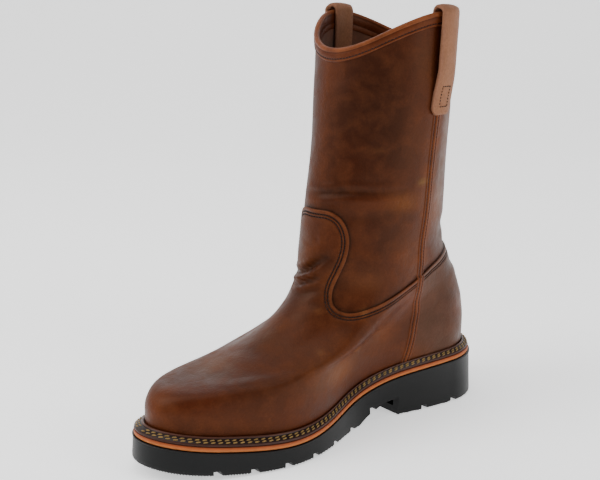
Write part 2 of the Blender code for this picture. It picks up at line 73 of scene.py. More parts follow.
shaft = {
    "instep": 0.091,
    "height": 0.276,
    "depth": 0.117,
    "width": 0.110,
    "turn": math.radians(7),
    "dip": 0.026,
    "dipStart": 0.80,
    "wall": 0.0022,
    "band": 0.0095,
    "levelEdge": 0.03,
}
seatRise = 0.0043  # crepe midsole and its two clearances

# Rings round the foot, from the welt up: shares of the sole's length and widths and of the instep height.
footColumns = (
    "front", "frontRise", "back", "backRise", "heel", "waist", "ball", "toe",
    "arch", "heelRound", "toeRound", "follow", "turn",
)
footRings = (
    (0.966, 0.00, 0.026, 0.00, 0.83, 0.79, 0.83, 0.83, 1.00, 0.13, 0.73, 1.0, 0.00),
    (0.967, 0.12, 0.028, 0.18, 0.88, 0.88, 0.87, 0.86, 0.80, 0.13, 0.73, 0.9, 0.00),
    (0.962, 0.225, 0.030, 0.32, 0.90, 0.92, 0.89, 0.89, 0.60, 0.13, 0.74, 0.7, 0.00),
    (0.942, 0.32, 0.033, 0.43, 0.90, 0.93, 0.89, 0.90, 0.45, 0.14, 0.73, 0.5, 0.00),
    (0.890, 0.38, 0.039, 0.51, 0.90, 0.94, 0.88, 0.87, 0.35, 0.14, 0.70, 0.4, 0.00),
    (0.808, 0.44, 0.048, 0.59, 0.90, 0.96, 0.88, 0.85, 0.22, 0.15, 0.65, 0.25, 0.00),
    (0.695, 0.585, 0.061, 0.71, 0.90, 1.00, 0.84, 0.81, 0.10, 0.18, 0.58, 0.1, 0.00),
    (0.598, 0.77, 0.076, 0.83, 0.93, 1.08, 0.82, 0.85, 0.00, 0.22, 0.50, 0.0, 0.15),
    (0.543, 1.00, 0.094, 0.98, 0.95, 1.13, 0.79, 0.85, 0.00, 0.30, 0.50, 0.0, 0.30),
)

# Rings round the shaft: shares of its height, depth and width.
shaftColumns = (
    "frontRise", "backRise", "depth", "centre", "heel", "waist", "ball", "toe", "heelRound", "turn",
)
shaftRings = (
    (0.356, 0.388, 1.15, 0.314, 0.75, 0.80, 0.80, 0.75, 0.40, 0.50),
    (0.486, 0.489, 1.14, 0.304, 0.78, 0.84, 0.82, 0.76, 0.45, 0.85),
    (0.649, 0.649, 1.07, 0.292, 0.84, 0.91, 0.87, 0.82, 0.48, 1.00),
    (0.800, 0.800, 1.02, 0.285, 0.89, 0.98, 0.93, 0.87, 0.48, 1.00),
    (1.000, 1.000, 1.00, 0.276, 0.93, 1.00, 0.96, 0.91, 0.48, 1.00),
)


def smooth(at, knots, values):
    # a cubic curve through the values at the knots, level beyond them
    at = np.asarray(at, float)
    knots = np.asarray(knots, float)
    values = np.asarray(values, float)
    column = (-1,) + (1,) * (values.ndim - 1)
    steps = np.diff(knots)
    slopes = np.diff(values, axis=0) / steps.reshape(column)
    before, after = steps[:-1].reshape(column), steps[1:].reshape(column)
    inner = (slopes[:-1] * after + slopes[1:] * before) / (before + after)
    tangents = np.concatenate([slopes[:1], inner, slopes[-1:]])
    at = np.clip(at, knots[0], knots[-1])
    i = np.clip(np.searchsorted(knots, at, side="right") - 1, 0, len(steps) - 1)
    shape = at.shape + (1,) * (values.ndim - 1)
    width = steps[i].reshape(shape)
    t = ((at - knots[i]) / steps[i]).reshape(shape)
    return (
        (1 + 2 * t) * (1 - t) ** 2 * values[i]
        + t * (1 - t) ** 2 * width * tangents[i]
        + t * t * (3 - 2 * t) * values[i + 1]
        + t * t * (t - 1) * width * tangents[i + 1]
    )


def ease(value):
    value = np.clip(value, 0, 1)
    return value * value * (3 - 2 * value)


def unit(vectors):
    return vectors / np.linalg.norm(vectors, axis=-1, keepdims=True)


def soleEdge(y):
    along = (heelBack - y) / sole["length"]
    toHeel = smooth(along, soleLine["along"], soleLine["toHeel"])
    toToe = smooth(along, soleLine["along"], soleLine["toToe"])
    low = sole["ballEdge"]
    return low + (sole["heelEdge"] - low) * toHeel + (sole["toeEdge"] - low) * toToe


def seat(y):
    return soleEdge(y) + seatRise


def tread(y):
    start = sole["springStart"]
    along = (heelBack - y) / sole["length"]
    return sole["toeSpring"] * np.clip((along - start) / (1 - start), 0, 1) ** 2


def ringOutline(around, front, back, widths, arch, heelRound, toeRound):
    along = 0.5 + 0.5 * np.cos(around)
    side = np.where(np.sin(around) >= 0, 1.0, -1.0)
    lag = np.where(side < 0, sole["outerLag"], 0)
    share = smooth(along + lag, widthPlaces, np.eye(len(widthPlaces)))
    half = sum(share[..., place] * widths[which] / 2 for place, which in enumerate(widthOfPlace))
    heel = 1 - np.clip(1 - along / heelRound, 0, 1) ** 2
    toe = 1 - np.clip((along - toeRound) / (1 - toeRound), 0, 1) ** 2.2
    half = half * np.sqrt(np.clip(heel, 0, 1) * np.clip(toe, 0, 1))
    pinch = arch * np.exp(-(((along - archMiddle) / archReach) ** 2))
    middle = sole["sway"] * smooth(along, swayLine["along"], swayLine["share"])
    x = middle + side * half - np.where(side > 0, pinch, 0)
    y = back + (front - back) * along
    return x, y, along


def sectionValues():
    rows = []
    length = sole["length"]
    for values in footRings:
        ring = dict(zip(footColumns, values))
        front = heelBack - ring["front"] * length
        back = heelBack - ring["back"] * length
        frontHeight = seat(front) + ring["frontRise"] * shaft["instep"]
        backHeight = seat(back) + ring["backRise"] * shaft["instep"]
        widths = np.array(sole["widths"]) * (ring["heel"], ring["waist"], ring["ball"], ring["toe"])
        rounds = (ring["heelRound"], ring["toeRound"])
        arch = ring["arch"] * sole["archPinch"]
        turn = ring["turn"] * shaft["turn"]
        rows.append((front, frontHeight, back, backHeight, *widths, arch, *rounds, ring["follow"], turn))
    for values in shaftRings:
        ring = dict(zip(shaftColumns, values))
        middle = heelBack - ring["centre"] * length
        reach = ring["depth"] * shaft["depth"] / 2
        frontHeight = seat(heelBack) + ring["frontRise"] * shaft["height"]
        backHeight = seat(heelBack) + ring["backRise"] * shaft["height"]
        widths = [ring[name] * shaft["width"] for name in ("heel", "waist", "ball", "toe")]
        turn = ring["turn"] * shaft["turn"]
        rows.append((
            middle - reach, frontHeight, middle + reach, backHeight,
            *widths, 0, ring["heelRound"], 0.5, 0, turn,
        ))
    return np.array(rows)


sections = sectionValues()
frontSteps = np.hypot(np.diff(sections[:, 0]), np.diff(sections[:, 1]))
backSteps = np.hypot(np.diff(sections[:, 2]), np.diff(sections[:, 3]))
sectionPlaces = np.concatenate([[0], np.cumsum(frontSteps + backSteps)]) / (frontSteps + backSteps).sum()
shaftStep = (sectionPlaces[-1] - sectionPlaces[-2]) / (sections[-1, 1] - sections[-2, 1])
bandStart = 1 - shaft["band"] * shaftStep
unrolled = np.array((shaft["width"] / 2, (frontSteps + backSteps).sum() / 2))


def skin(around, up):
    around, up = np.broadcast_arrays(np.asarray(around, float), np.asarray(up, float))
    values = np.moveaxis(smooth(up, sectionPlaces, sections), -1, 0)
    front, frontHeight, back, backHeight = values[:4]
    arch, heelRound, toeRound, follow, turn = values[8:]
    x, y, along = ringOutline(around, front, back, values[4:8], arch, heelRound, toeRound)
    chord = soleEdge(back) + (soleEdge(front) - soleEdge(back)) * along
    z = backHeight + (frontHeight - backHeight) * along + follow * (soleEdge(y) - chord)
    dip = ease((up - shaft["dipStart"]) / (bandStart - shaft["dipStart"]))
    z = z - shaft["dip"] * np.cos(around) ** 2 * dip
    middle = (front + back) / 2
    turnedX = x * np.cos(turn) - (y - middle) * np.sin(turn)
    turnedY = middle + x * np.sin(turn) + (y - middle) * np.cos(turn)
    return np.stack([turnedX, turnedY, z], axis=-1)


def slopes(around, up):
    # how the skin runs per radian round and per share up
    step = 1e-4
    high, low = np.clip(up + step, 0, 1), np.clip(up - step, 0, 1)
    across = (skin(around + step, up) - skin(around - step, up)) / (2 * step)
    rise = (skin(around, high) - skin(around, low)) / (high - low)[..., None]
    return across, rise


def facing(around, up):
    across, rise = slopes(around, up)
    normal = np.cross(across, rise)
    normal[..., 2] *= np.clip(np.minimum(up, 1 - up) / shaft["levelEdge"], 0, 1)
    return unit(normal)


# Creases: points as degrees from the front line and share of the way up, then width and depth in mm.
# A crease with a depth below zero is a ridge.
creases = (
    (((-34, 0.418), (-12, 0.428), (2, 0.440), (12, 0.456), (24, 0.474)), 2.6, 3.2),
    (((-26, 0.400), (-6, 0.409), (8, 0.421), (18, 0.428)), 2.3, 2.5),
    (((-20, 0.385), (2, 0.393), (16, 0.402), (28, 0.404)), 3.4, 1.3),
    (((-30, 0.409), (-8, 0.419), (6, 0.430), (18, 0.446)), 2.8, -1.5),
    (((-18, 0.448), (-2, 0.462), (10, 0.480)), 4.2, -0.9),
    (((-28, 0.372), (0, 0.374), (30, 0.384), (48, 0.372)), 5.5, 0.7),
    (((-14, 0.500), (0, 0.492), (8, 0.500), (6, 0.512)), 2.0, 0.5),
    (((-24, 0.596), (2, 0.600), (30, 0.606), (54, 0.603), (76, 0.604)), 2.5, 1.7),
    (((20, 0.582), (44, 0.584), (70, 0.582)), 6.0, -1.2),
    (((132, 0.330), (150, 0.345), (172, 0.350), (188, 0.348)), 4.5, 0.8),
    (((-150, 0.335), (-128, 0.345), (-104, 0.360)), 4.0, 0.8),
    (((-88, 0.430), (-64, 0.446), (-44, 0.452)), 4.2, 1.0),
    (((-96, 0.505), (-70, 0.522), (-46, 0.520)), 5.0, 0.8),
    (((120, 0.470), (146, 0.484), (176, 0.478), (204, 0.486)), 5.0, 0.9),
    (((150, 0.560), (178, 0.572), (206, 0.566)), 5.0, 0.6),
    (((-40, 0.245), (-12, 0.262), (18, 0.268), (46, 0.250)), 7.0, 0.5),
    (((58, 0.352), (62, 0.336), (68, 0.322)), 0.9, 0.15),
)

# Soft swells and hollows: degrees round and share up, then reach level, reach upright and height in mm.
swells = (
    (140, 0.935, 22, 12, 1.5),
    (142, 0.855, 22, 10, -1.3),
    (150, 0.770, 26, 20, 0.8),
    (20, 0.720, 30, 34, -0.9),
    (66, 0.520, 22, 24, -1.1),
    (60, 0.440, 18, 12, 1.0),
    (150, 0.440, 26, 16, -0.9),
    (-60, 0.680, 28, 30, -0.9),
    (-130, 0.560, 30, 30, 0.9),
    (196, 0.700, 26, 34, -0.8),
    (96, 0.175, 16, 14, -0.8),
    (-90, 0.140, 20, 12, -0.7),
)
creaseShape = {"reach": 4, "lipPlace": 1.9, "lipSpread": 0.8, "lipShare": 0.45, "fade": 0.7}


def finely(curve, steps):
    # a smooth curve through the points, with this many steps between each two
    places = np.arange(len(curve))
    return smooth(np.linspace(0, places[-1], steps * places[-1] + 1), places, curve)


def creasePath(line):
    fine = finely(np.array(line, float), 12)
    return skin(np.radians(fine[:, 0]), fine[:, 1])


def spotShare(points, degrees, up, level, tall):
    # 1 at a spot on the skin, fading over its reach in mm
    centre = skin(np.radians(degrees), up)
    levelGap = np.linalg.norm(points[:, :2] - centre[:2], axis=1) / (level * mm)
    tallGap = (points[:, 2] - centre[2]) / (tall * mm)
    return np.exp(-levelGap * levelGap - tallGap * tallGap)


def relief(base):
    # how far the worn leather stands out of the smooth skin
    flat = base.reshape(-1, 3)
    total = np.zeros(len(flat))
    for line, width, depth in creases:
        path = creasePath(line)
        reach = creaseShape["reach"] * width * mm
        near = ((flat > path.min(axis=0) - reach) & (flat < path.max(axis=0) + reach)).all(axis=1)
        if not near.any():
            continue
        gaps = np.linalg.norm(flat[near, None] - path[None], axis=-1)
        gap = gaps.min(axis=1) / (width * mm)
        fade = np.sin(math.pi * (gaps.argmin(axis=1) + 0.5) / len(path)) ** creaseShape["fade"]
        lips = np.exp(-(((gap - creaseShape["lipPlace"]) / creaseShape["lipSpread"]) ** 2))
        total[near] -= depth * mm * fade * (np.exp(-gap * gap) - creaseShape["lipShare"] * lips)
    for degrees, up, level, tall, rise in swells:
        total += rise * mm * spotShare(flat, degrees, up, level, tall)
    return total.reshape(base.shape[:-1])


def place(around, up, out=0.0, worn=True):
    around, up, out = np.broadcast_arrays(*(np.asarray(value, float) for value in (around, up, out)))
    base = skin(around, up)
    normal = facing(around, up)
    if worn:
        out = out + relief(base)
    return base + out[..., None] * normal


def angleFor(width, around, up):
    across = slopes(np.asarray(around, float), np.asarray(up, float))[0]
    return width / np.linalg.norm(across, axis=-1)


seam = {
    "up": (0.02, 0.06, 0.10, 0.15, 0.20, 0.28, 0.34, 0.42, 0.52, 0.66, 0.80, 1.00),
    "around": (117.2, 118.5, 119.0, 117.8, 115.3, 109.5, 104.0, 100.2, 98.8, 94.0, 92.0, 94.0),
}


def seamAngle(up):
    return np.radians(smooth(up, seam["up"], seam["around"]))


def soleOutline(around, grow=0.0):
    front = heelBack - sole["length"] - grow
    widths = [width + 2 * grow for width in sole["widths"]]
    x, y, _ = ringOutline(around, front, heelBack + grow, widths, sole["archPinch"], *sole["rounds"])
    return x, y


def linear(code):
    # an sRGB hex colour as linear numbers
    parts = [int(code[i:i + 2], 16) / 255 for i in (1, 3, 5)]
    return tuple(part / 12.92 if part <= 0.04045 else ((part + 0.055) / 1.055) ** 2.4 for part in parts)


def addNode(tree, kind, inputs, **settings):
    node = tree.nodes.new("ShaderNode" + kind)
    for name, value in settings.items():
        setattr(node, name, value)
    for name, value in inputs.items():
        if isinstance(value, bpy.types.NodeSocket):
            tree.links.new(value, node.inputs[name])
        else:
            node.inputs[name].default_value = value
    return node.outputs


def newMaterial(name, roughness, **settings):
    material = bpy.data.materials.new(name)
    material.use_nodes = True
    shader = material.node_tree.nodes["Principled BSDF"]
    shader.inputs["Roughness"].default_value = roughness
    # everything here is waxed, worn or matt, so it mirrors little
    shader.inputs["Specular IOR Level"].default_value = 0.2
    for setting, value in settings.items():
        shader.inputs[setting.replace("_", " ")].default_value = value
    return material, material.node_tree, shader


def patterns(tree, noises, ranges):
    # The mesh's dye and rub, then a cloudy pattern per row of noises: name, size in mm, detail, distortion.
    # Each row of ranges reads part of a pattern: its name, the pattern, the part, and what the part becomes.
    vector = addNode(tree, "TexCoord", {})["Object"]
    made = {
        "vector": vector,
        "dye": addNode(tree, "Attribute", {}, attribute_name="dye")["Color"],
        "rub": addNode(tree, "Attribute", {}, attribute_name="rub")["Fac"],
    }
    for name, size, detail, distortion in noises:
        inputs = {"Vector": vector, "Scale": 1000 / size, "Detail": detail, "Distortion": distortion}
        made[name] = addNode(tree, "TexNoise", inputs)[0]
    for name, source, low, high, toLow, toHigh in ranges:
        ends = {"From Min": low, "From Max": high, "To Min": toLow, "To Max": toHigh}
        made[name] = addNode(tree, "MapRange", {"Value": made[source], **ends})[0]
    return made


def layered(tree, shader, base, layers, bumps):
    # colours laid over the base one by one, then bumps in one normal: height, strength, depth in mm
    for factor, added, mode in layers:
        if mode == "MULTIPLY":
            added = addNode(tree, "CombineColor", {0: added, 1: added, 2: added})[0]
        base = addNode(tree, "Mix", {0: factor, 6: base, 7: added}, data_type="RGBA", blend_type=mode)[2]
    tree.links.new(base, shader.inputs["Base Color"])
    inputs = {}
    for height, strength, depth in bumps:
        inputs.update({"Strength": strength, "Distance": depth * mm, "Height": height})
        inputs["Normal"] = addNode(tree, "Bump", inputs)[0]
    tree.links.new(inputs["Normal"], shader.inputs["Normal"])


def oiledLeather(name, roughness, burnish, dark, coat=0.05, poreDepth=0.16):
    # pull-up leather, waxed and rubbed: clouds darken it, worn places turn to the burnish colour,
    # and a low coat gives a soft sheen along the folds
    material, tree, shader = newMaterial(
        name, roughness, Coat_Weight=coat, Coat_Roughness=0.38, Specular_Tint=(*linear("#ffc49a"), 1),
    )
    made = patterns(
        tree,
        (("cloud", 34, 3, 0.2), ("patch", 12, 4, 0.3), ("speck", 1.6, 3, 0.0), ("wrinkle", 3.6, 5, 1.6)),
        (
            ("shadow", "cloud", 0.36, 0.72, 0.0, 0.38),
            ("bloom", "patch", 0.44, 0.84, 0.0, 0.18),
            ("wear", "patch", 0.30, 0.62, 0.45, 1.0),
            ("shade", "speck", 0.30, 0.70, 0.86, 1.10),
            ("gloss", "patch", 0.35, 0.70, roughness - 0.07, roughness + 0.10),
        ),
    )
    poreSize = 1.1
    pores = {"Vector": made["vector"], "Scale": 1000 / poreSize, "Randomness": 1.0}
    made["pore"] = addNode(tree, "TexVoronoi", pores)[0]
    worn = addNode(tree, "Math", {0: made["rub"], 1: made["wear"]}, operation="MULTIPLY")[0]
    tree.links.new(made["gloss"], shader.inputs["Roughness"])
    darkDye, burnishDye = (*linear(dark), 1), (*linear(burnish), 1)
    layered(
        tree, shader, made["dye"],
        (
            (made["shadow"], darkDye, "MIX"),
            (made["bloom"], burnishDye, "MIX"),
            (worn, burnishDye, "MIX"),
            (1.0, made["shade"], "MULTIPLY"),
        ),
        ((made["pore"], 0.35, poreDepth), (made["wrinkle"], 0.5, 0.35), (made["patch"], 0.5, 1.2)),
    )
    return material


def plainMaterial(name, colour, roughness, sizes, variation=0.12, depth=0.2, **settings):
    # one colour, or the mesh's dye, with fine unevenness: sizes are the blotch and the grain in mm
    material, tree, shader = newMaterial(name, roughness, **settings)
    noises = (("blotch", sizes[0], 3, 0.0), ("fine", sizes[1], 2, 0.0))
    made = patterns(tree, noises, (("shade", "blotch", 0.3, 0.7, 1 - variation, 1 + variation),))
    base = made["dye"] if colour is None else (*linear(colour), 1)
    layered(tree, shader, base, ((1.0, made["shade"], "MULTIPLY"),), ((made["fine"], 0.6, depth),))
    return material


print("making the materials")
materials = {
    # dark, low-sheen leather of the shaft and foot, lighter where it is rubbed
    "boot": oiledLeather("oiled boot leather", 0.50, "#83492a", "#211009"),
    # greyer, smoother leather of the heel counter
    "counter": oiledLeather("smooth counter leather", 0.44, "#7a5344", "#1c110e", coat=0.04),
    # the straps' leather is drier, so it looks greyer and flatter
    "strap": oiledLeather("dry strap leather", 0.62, "#7d5643", "#2c1b15", coat=0.04, poreDepth=0.2),
    # inside face of the shaft, brushed and dull
    "lining": plainMaterial("brushed lining leather", None, 0.85, (14, 0.8), 0.18, 0.25, Sheen_Weight=0.15),
    # storm welt: waxed hard leather with a soft shine on its rib
    "welt": plainMaterial("waxed welt leather", None, 0.42, (7, 0.9), 0.14, 0.12, Coat_Weight=0.04),
    # crepe midsole, cut on its edge so a fine open grain shows
    "crepe": plainMaterial("cut crepe rubber", None, 0.55, (5, 0.7), 0.10, 0.25),
    # moulded rubber: near black, satin, a little greenish
    "rubber": plainMaterial("moulded black rubber", "#070808", 0.44, (10, 0.5), 0.10, 0.10),
    # waxed thread, dark on the upper and gold along the welt
    "darkThread": plainMaterial("dark waxed thread", "#120806", 0.55, (2, 0.3), 0.15, 0.08),
    "goldThread": plainMaterial("gold waxed thread", "#84683a", 0.50, (3, 0.3), 0.25, 0.08),
    # soft sock over the insole
    "sock": plainMaterial("sueded sock leather", "#8a6a4c", 0.9, (12, 0.7), 0.12, 0.3, Sheen_Weight=0.2),
}


# A rub over zero shows the burnish colour, and one below zero darkens the dye, which lays painted shade
# along cut edges and in grooves.
def makeMesh(name, points, faces, material, dye=None, rub=None, flat=False):
    mesh = bpy.data.meshes.new(name)
    mesh.from_pydata([tuple(point) for point in points], [], faces)
    mesh.update()
    worn = np.zeros(len(points)) if rub is None else np.asarray(rub, float)
    colours = np.ones((len(points), 4))
    colours[:, :3] = linear("#808080") if dye is None else dye
    colours[:, :3] *= 1 + np.minimum(worn, 0)[:, None]
    layer = mesh.color_attributes.new("dye", "FLOAT_COLOR", "POINT")
    layer.data.foreach_set("color", colours.ravel())
    rubbed = mesh.attributes.new("rub", "FLOAT", "POINT")
    rubbed.data.foreach_set("value", np.maximum(worn, 0))
    mesh.materials.append(materials[material])
    if not flat:
        mesh.shade_smooth()
    thing = bpy.data.objects.new(name, mesh)
    bpy.context.scene.collection.objects.link(thing)
    return thing


def gridFaces(rows, count, closed=True, start=0):
    faces = []
    for row in range(rows - 1):
        low, high = start + row * count, start + (row + 1) * count
        for i in range(count if closed else count - 1):
            j = (i + 1) % count
            faces.append((low + i, low + j, high + j, high + i))
    return faces


def dress(piece, slotName, *nodes):
    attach(piece, "root")
    if nodes:
        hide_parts(*nodes)
    return piece


# Colour patches: degrees round and share up, reach level and upright in mm, the colour, how strong.
tones = (
    (-4, 0.92, 12, 30, "#7a4a32", 0.5),
    (-8, 0.72, 9, 60, "#7a4e38", 0.4),
    # painted shade: a dark patch over the middle of the shaft, between its lit sides
    (34, 0.84, 22, 40, "#2c1611", 0.85),
    (30, 0.68, 14, 26, "#4c2519", 0.5),
    # painted shade: a second dark patch over the middle of the shaft
    (56, 0.78, 15, 44, "#301a14", 0.75),
    (74, 0.90, 8, 16, "#5b3a22", 0.6),
    (76, 0.72, 12, 30, "#5f3c2c", 0.6),
    (74, 0.575, 15, 8, "#8e5a30", 0.9),
    (50, 0.580, 20, 6, "#5f3520", 0.6),
    # painted shade: a dark strip along the trough of the fold round the shaft at 0.60
    (20, 0.605, 20, 6, "#361a10", 0.8),
    (62, 0.52, 14, 14, "#4a2a22", 0.6),
    (84, 0.46, 12, 20, "#774a32", 0.7),
    (56, 0.41, 16, 10, "#6a4636", 0.8),
    (44, 0.46, 8, 16, "#54301e", 0.5),
    (116, 0.70, 18, 70, "#7d5540", 0.7),
    (112, 0.56, 14, 18, "#875a42", 0.7),
    # painted shade: a dark strip along the trough of the front ankle crease
    (18, 0.465, 12, 6, "#351b12", 0.8),
    (-6, 0.470, 10, 20, "#6d4834", 0.6),
    (10, 0.415, 18, 7, "#5d3624", 0.6),
    (0, 0.300, 12, 30, "#6a4a30", 0.5),
    (40, 0.300, 30, 18, "#4c2a1c", 0.6),
    # painted highlight: a pale greyish patch on the top of the toe
    (-10, 0.205, 18, 10, "#755a4e", 0.7),
    (24, 0.130, 26, 12, "#4b2014", 0.4),
    (2, 0.080, 14, 20, "#7c4a30", 0.6),
    (66, 0.180, 26, 12, "#5d3626", 0.6),
    (84, 0.090, 30, 12, "#855a40", 0.9),
    (100, 0.150, 16, 16, "#84502f", 0.8),
    (102, 0.300, 16, 12, "#744634", 0.7),
    (50, 0.040, 26, 8, "#5f3624", 0.6),
    (128, 0.240, 18, 20, "#5a3f37", 0.6),
    (150, 0.130, 16, 22, "#6c4030", 0.7),
    (120, 0.030, 14, 8, "#6b3f26", 0.7),
    (-60, 0.30, 30, 24, "#6a4432", 0.6),
    (-80, 0.10, 34, 14, "#7a4e36", 0.7),
    (-40, 0.80, 24, 40, "#40221a", 0.6),
    (-110, 0.60, 24, 34, "#6f4630", 0.6),
    (180, 0.80, 30, 40, "#4c2b20", 0.6),
    (180, 0.54, 26, 16, "#7a4c34", 0.6),
    (88, 0.620, 5, 2.5, "#8a7a4a", 0.6),
    (63, 0.336, 3, 3, "#8f6a50", 0.7),
    (30, 0.360, 4, 1.5, "#8a6248", 0.6),
    (92, 0.120, 5, 2, "#9a7050", 0.6),
    (58, 0.230, 3, 4, "#8a6248", 0.5),
    (48, 0.700, 6, 2, "#6a4a38", 0.6),
    (-140, 0.22, 22, 22, "#604438", 0.6),
)


# depth and redden tint every dye; the two trough entries set the painted shade in the creases: the crease
# depth that gets it fully, and how dark it is
wax = {"depth": 0.62, "redden": (1.02, 1.15, 1.30), "troughDepth": 1.8, "troughShadeDark": 0.45}


def waxed(colour):
    # wax deepens a dye and makes it redder
    return wax["depth"] * np.asarray(colour) ** np.array(wax["redden"])


def dyeAt(points, ground):
    # the ground colour with its patches, and painted shade darkening the creases' troughs
    colour = np.tile(np.array(linear(ground)), (len(points), 1))
    for *spot, patch, strength in tones:
        share = strength * spotShare(points, *spot)
        colour += (np.array(linear(patch)) - colour) * share[:, None]
    # painted shade, darkest where the crease is deepest
    troughShade = np.clip(-relief(points) / (wax["troughDepth"] * mm), 0, 1)
    return waxed(colour) * (1 - wax["troughShadeDark"] * troughShade[:, None])


# One stitch: places along it and its thickness there, its section, and how its ends dive into the surface.
stitchShape = {
    "along": (-1.0, -0.8, -0.3, 0.3, 0.8, 1.0),
    "thick": (0.35, 0.8, 1.0, 1.0, 0.8, 0.35),
    "section": ((-1.0, -0.5), (-0.75, 0.55), (0.0, 1.0), (0.75, 0.55), (1.0, -0.5)),
    "dive": 0.35,
    "reach": 0.3,
}


def runAlong(points):
    # distance from the first point to each one
    steps = np.linalg.norm(np.diff(points, axis=0), axis=1)
    return np.concatenate([[0], np.cumsum(steps)])


def pointAt(path, run, spot):
    return np.array([np.interp(spot, run, path[:, axis]) for axis in range(3)])


def joined(groups):
    # several shapes' points and faces as one
    points, faces = [], []
    for groupPoints, groupFaces in groups:
        start = len(points)
        points += groupPoints
        faces += [tuple(start + i for i in face) for face in groupFaces]
    return points, faces


def stitches(path, normals, pitch, length, width, height, offset=0.0, slant=0.0):
    # one short thread after another along a path, laid on the surface
    run = runAlong(path)
    section, stations = stitchShape["section"], len(stitchShape["along"])
    corners = len(section)
    points, faces = [], []
    for number in range(int((run[-1] - offset) / pitch)):
        middle = offset + (number + 0.5) * pitch
        reach = stitchShape["reach"] * length
        centre = pointAt(path, run, middle)
        heading = unit(pointAt(path, run, middle + reach) - pointAt(path, run, middle - reach))
        normal = unit(pointAt(normals, run, middle))
        heading = unit(heading + slant * np.cross(normal, heading))
        side = np.cross(normal, heading)
        first = len(points)
        for share, thick in zip(stitchShape["along"], stitchShape["thick"]):
            for across, rise in section:
                sunk = rise * thick - stitchShape["dive"] * abs(share) ** 3
                lengthways = heading * share * length / 2
                sideways = side * across * thick * width / 2
                points.append(centre + lengthways + sideways + normal * sunk * height)
        faces += gridFaces(stations, corners, True, first)
        faces.append(tuple(first + i for i in reversed(range(corners))))
        faces.append(tuple(first + (stations - 1) * corners + i for i in range(corners)))
    return points, faces


def onSkin(curve, out):
    # a curve of angles and places up, as points and outward directions
    curve = np.asarray(curve)
    return place(curve[:, 0], curve[:, 1], out), facing(curve[:, 0], curve[:, 1])


def shifted(curve, distance):
    # the curve moved sideways over the skin, to its left as it runs
    curve = np.asarray(curve)
    across, rise = slopes(curve[:, 0], curve[:, 1])
    run = np.gradient(curve, axis=0)
    tangent = across * run[:, :1] + rise * run[:, 1:]
    normal = np.cross(across, rise)
    left = unit(np.cross(normal, tangent)) * distance
    metric = np.stack([
        np.stack([(across * across).sum(1), (across * rise).sum(1)], -1),
        np.stack([(across * rise).sum(1), (rise * rise).sum(1)], -1),
    ], -2)
    pull = np.stack([(across * left).sum(1), (rise * left).sum(1)], -1)
    return curve + np.linalg.solve(metric, pull[..., None])[..., 0]


def evenly(curve, spacing):
    # the same curve with points this far apart on the skin
    curve = np.asarray(curve, float)
    run = runAlong(skin(curve[:, 0], curve[:, 1]))
    at = np.linspace(0, run[-1], max(2, int(run[-1] / spacing)))
    return np.stack([np.interp(at, run, curve[:, 0]), np.interp(at, run, curve[:, 1])], axis=-1)


def nearestGap(points, curve):
    # how far each point lies from a curve, in batches
    gap = np.empty(len(points))
    for start in range(0, len(points), 2000):
        part = slice(start, start + 2000)
        gap[part] = np.linalg.norm(points[part, None] - curve[None], axis=-1).min(axis=1)
    return gap


def turnRound(count):
    return np.linspace(0, 2 * math.pi, count, endpoint=False)


print("building the outsole")
outsole = {
    "steps": 760,
    "toothPitch": 0.0021,
    "tooth": 0.0011,
    "shankRise": 0.015,
    "shankLength": 0.042,
    "pitch": 0.0254,
    "groove": 0.0045,
    "grooveLean": 0.004,
    "depth": 0.004,
    "spine": 0.026,  # plain strip down the middle, between the notches
    "rim": 0.006,  # wall round the hollow in the heel's breast
    "recess": 0.005,
    "firstGroove": 0.6,
    "heelGrooves": (0.44, 0.755),
    "sipes": (0.36, 0.66),  # shares of the pitch past each groove
    "sipeWidth": 0.0018,
    "sipeDepth": 0.0014,
    "sipeSpine": 0.016,
    "sipeClear": 0.010,  # behind the heel's breast
}
# Up the rubber's side: growth of its outline in mm, share of the way to the top edge, lift over the tread
# in mm, and share of the serration's teeth.
rubberProfile = (
    (-4.5, 0.0, 0.0, 0.0),
    (0.4, 0.0, 0.0, 1.0),
    (1.2, 0.0, 0.8, 1.0),
    (1.2, 0.0, 3.5, 0.0),
    (0.72, 0.45, 0.0, 0.0),
    (0.2, 0.93, 0.0, 0.0),
    (0.6, 0.955, 0.0, 0.0),
    (0.6, 0.99, 0.0, 0.0),
    (0.0, 1.0, 0.0, 0.0),
)
shankArch = ((0.0, 1.0), (0.3, 0.86), (0.75, 0.34), (1.0, 0.0))
spare = 0.001
farOut = 0.1  # past either side of the sole


def ladderCaps(count, first, last):
    faces = []
    for start, flip in ((first, True), (last, False)):
        for i in range(count // 2):
            corners = (i, i + 1, (count - i - 1) % count, (count - i) % count)
            face = list(dict.fromkeys(start + corner for corner in corners))
            faces.append(tuple(reversed(face)) if flip else tuple(face))
    return faces


def capped(rings):
    # rings of points as one closed form, with its first and last ring filled in
    count = len(rings[0])
    faces = gridFaces(len(rings), count) + ladderCaps(count, 0, (len(rings) - 1) * count)
    return np.concatenate(rings), faces


def prism(corners, left, right):
    count = len(corners)
    points = [(x, y, z) for x in (left, right) for y, z in corners]
    faces = [tuple(range(count)), tuple(reversed(range(count, 2 * count)))]
    faces += [(i, i + count, (i + 1) % count + count, (i + 1) % count) for i in range(count)]
    return points, faces


def rubberRings():
    around = turnRound(outsole["steps"])
    x, y = soleOutline(around)
    steps = np.hypot(np.diff(x, append=x[0]), np.diff(y, append=y[0]))
    run = np.concatenate([[0], np.cumsum(steps)[:-1]])
    teeth = outsole["tooth"] * np.abs((run / outsole["toothPitch"]) % 1 - 0.5) * 2
    rings = []
    for grow, share, lift, toothed in rubberProfile:
        x, y = soleOutline(around, grow * mm)
        low = tread(y) + lift * mm + toothed * teeth
        rings.append(np.stack([x, y, low + (soleEdge(y) - low) * share], axis=-1))
    return rings


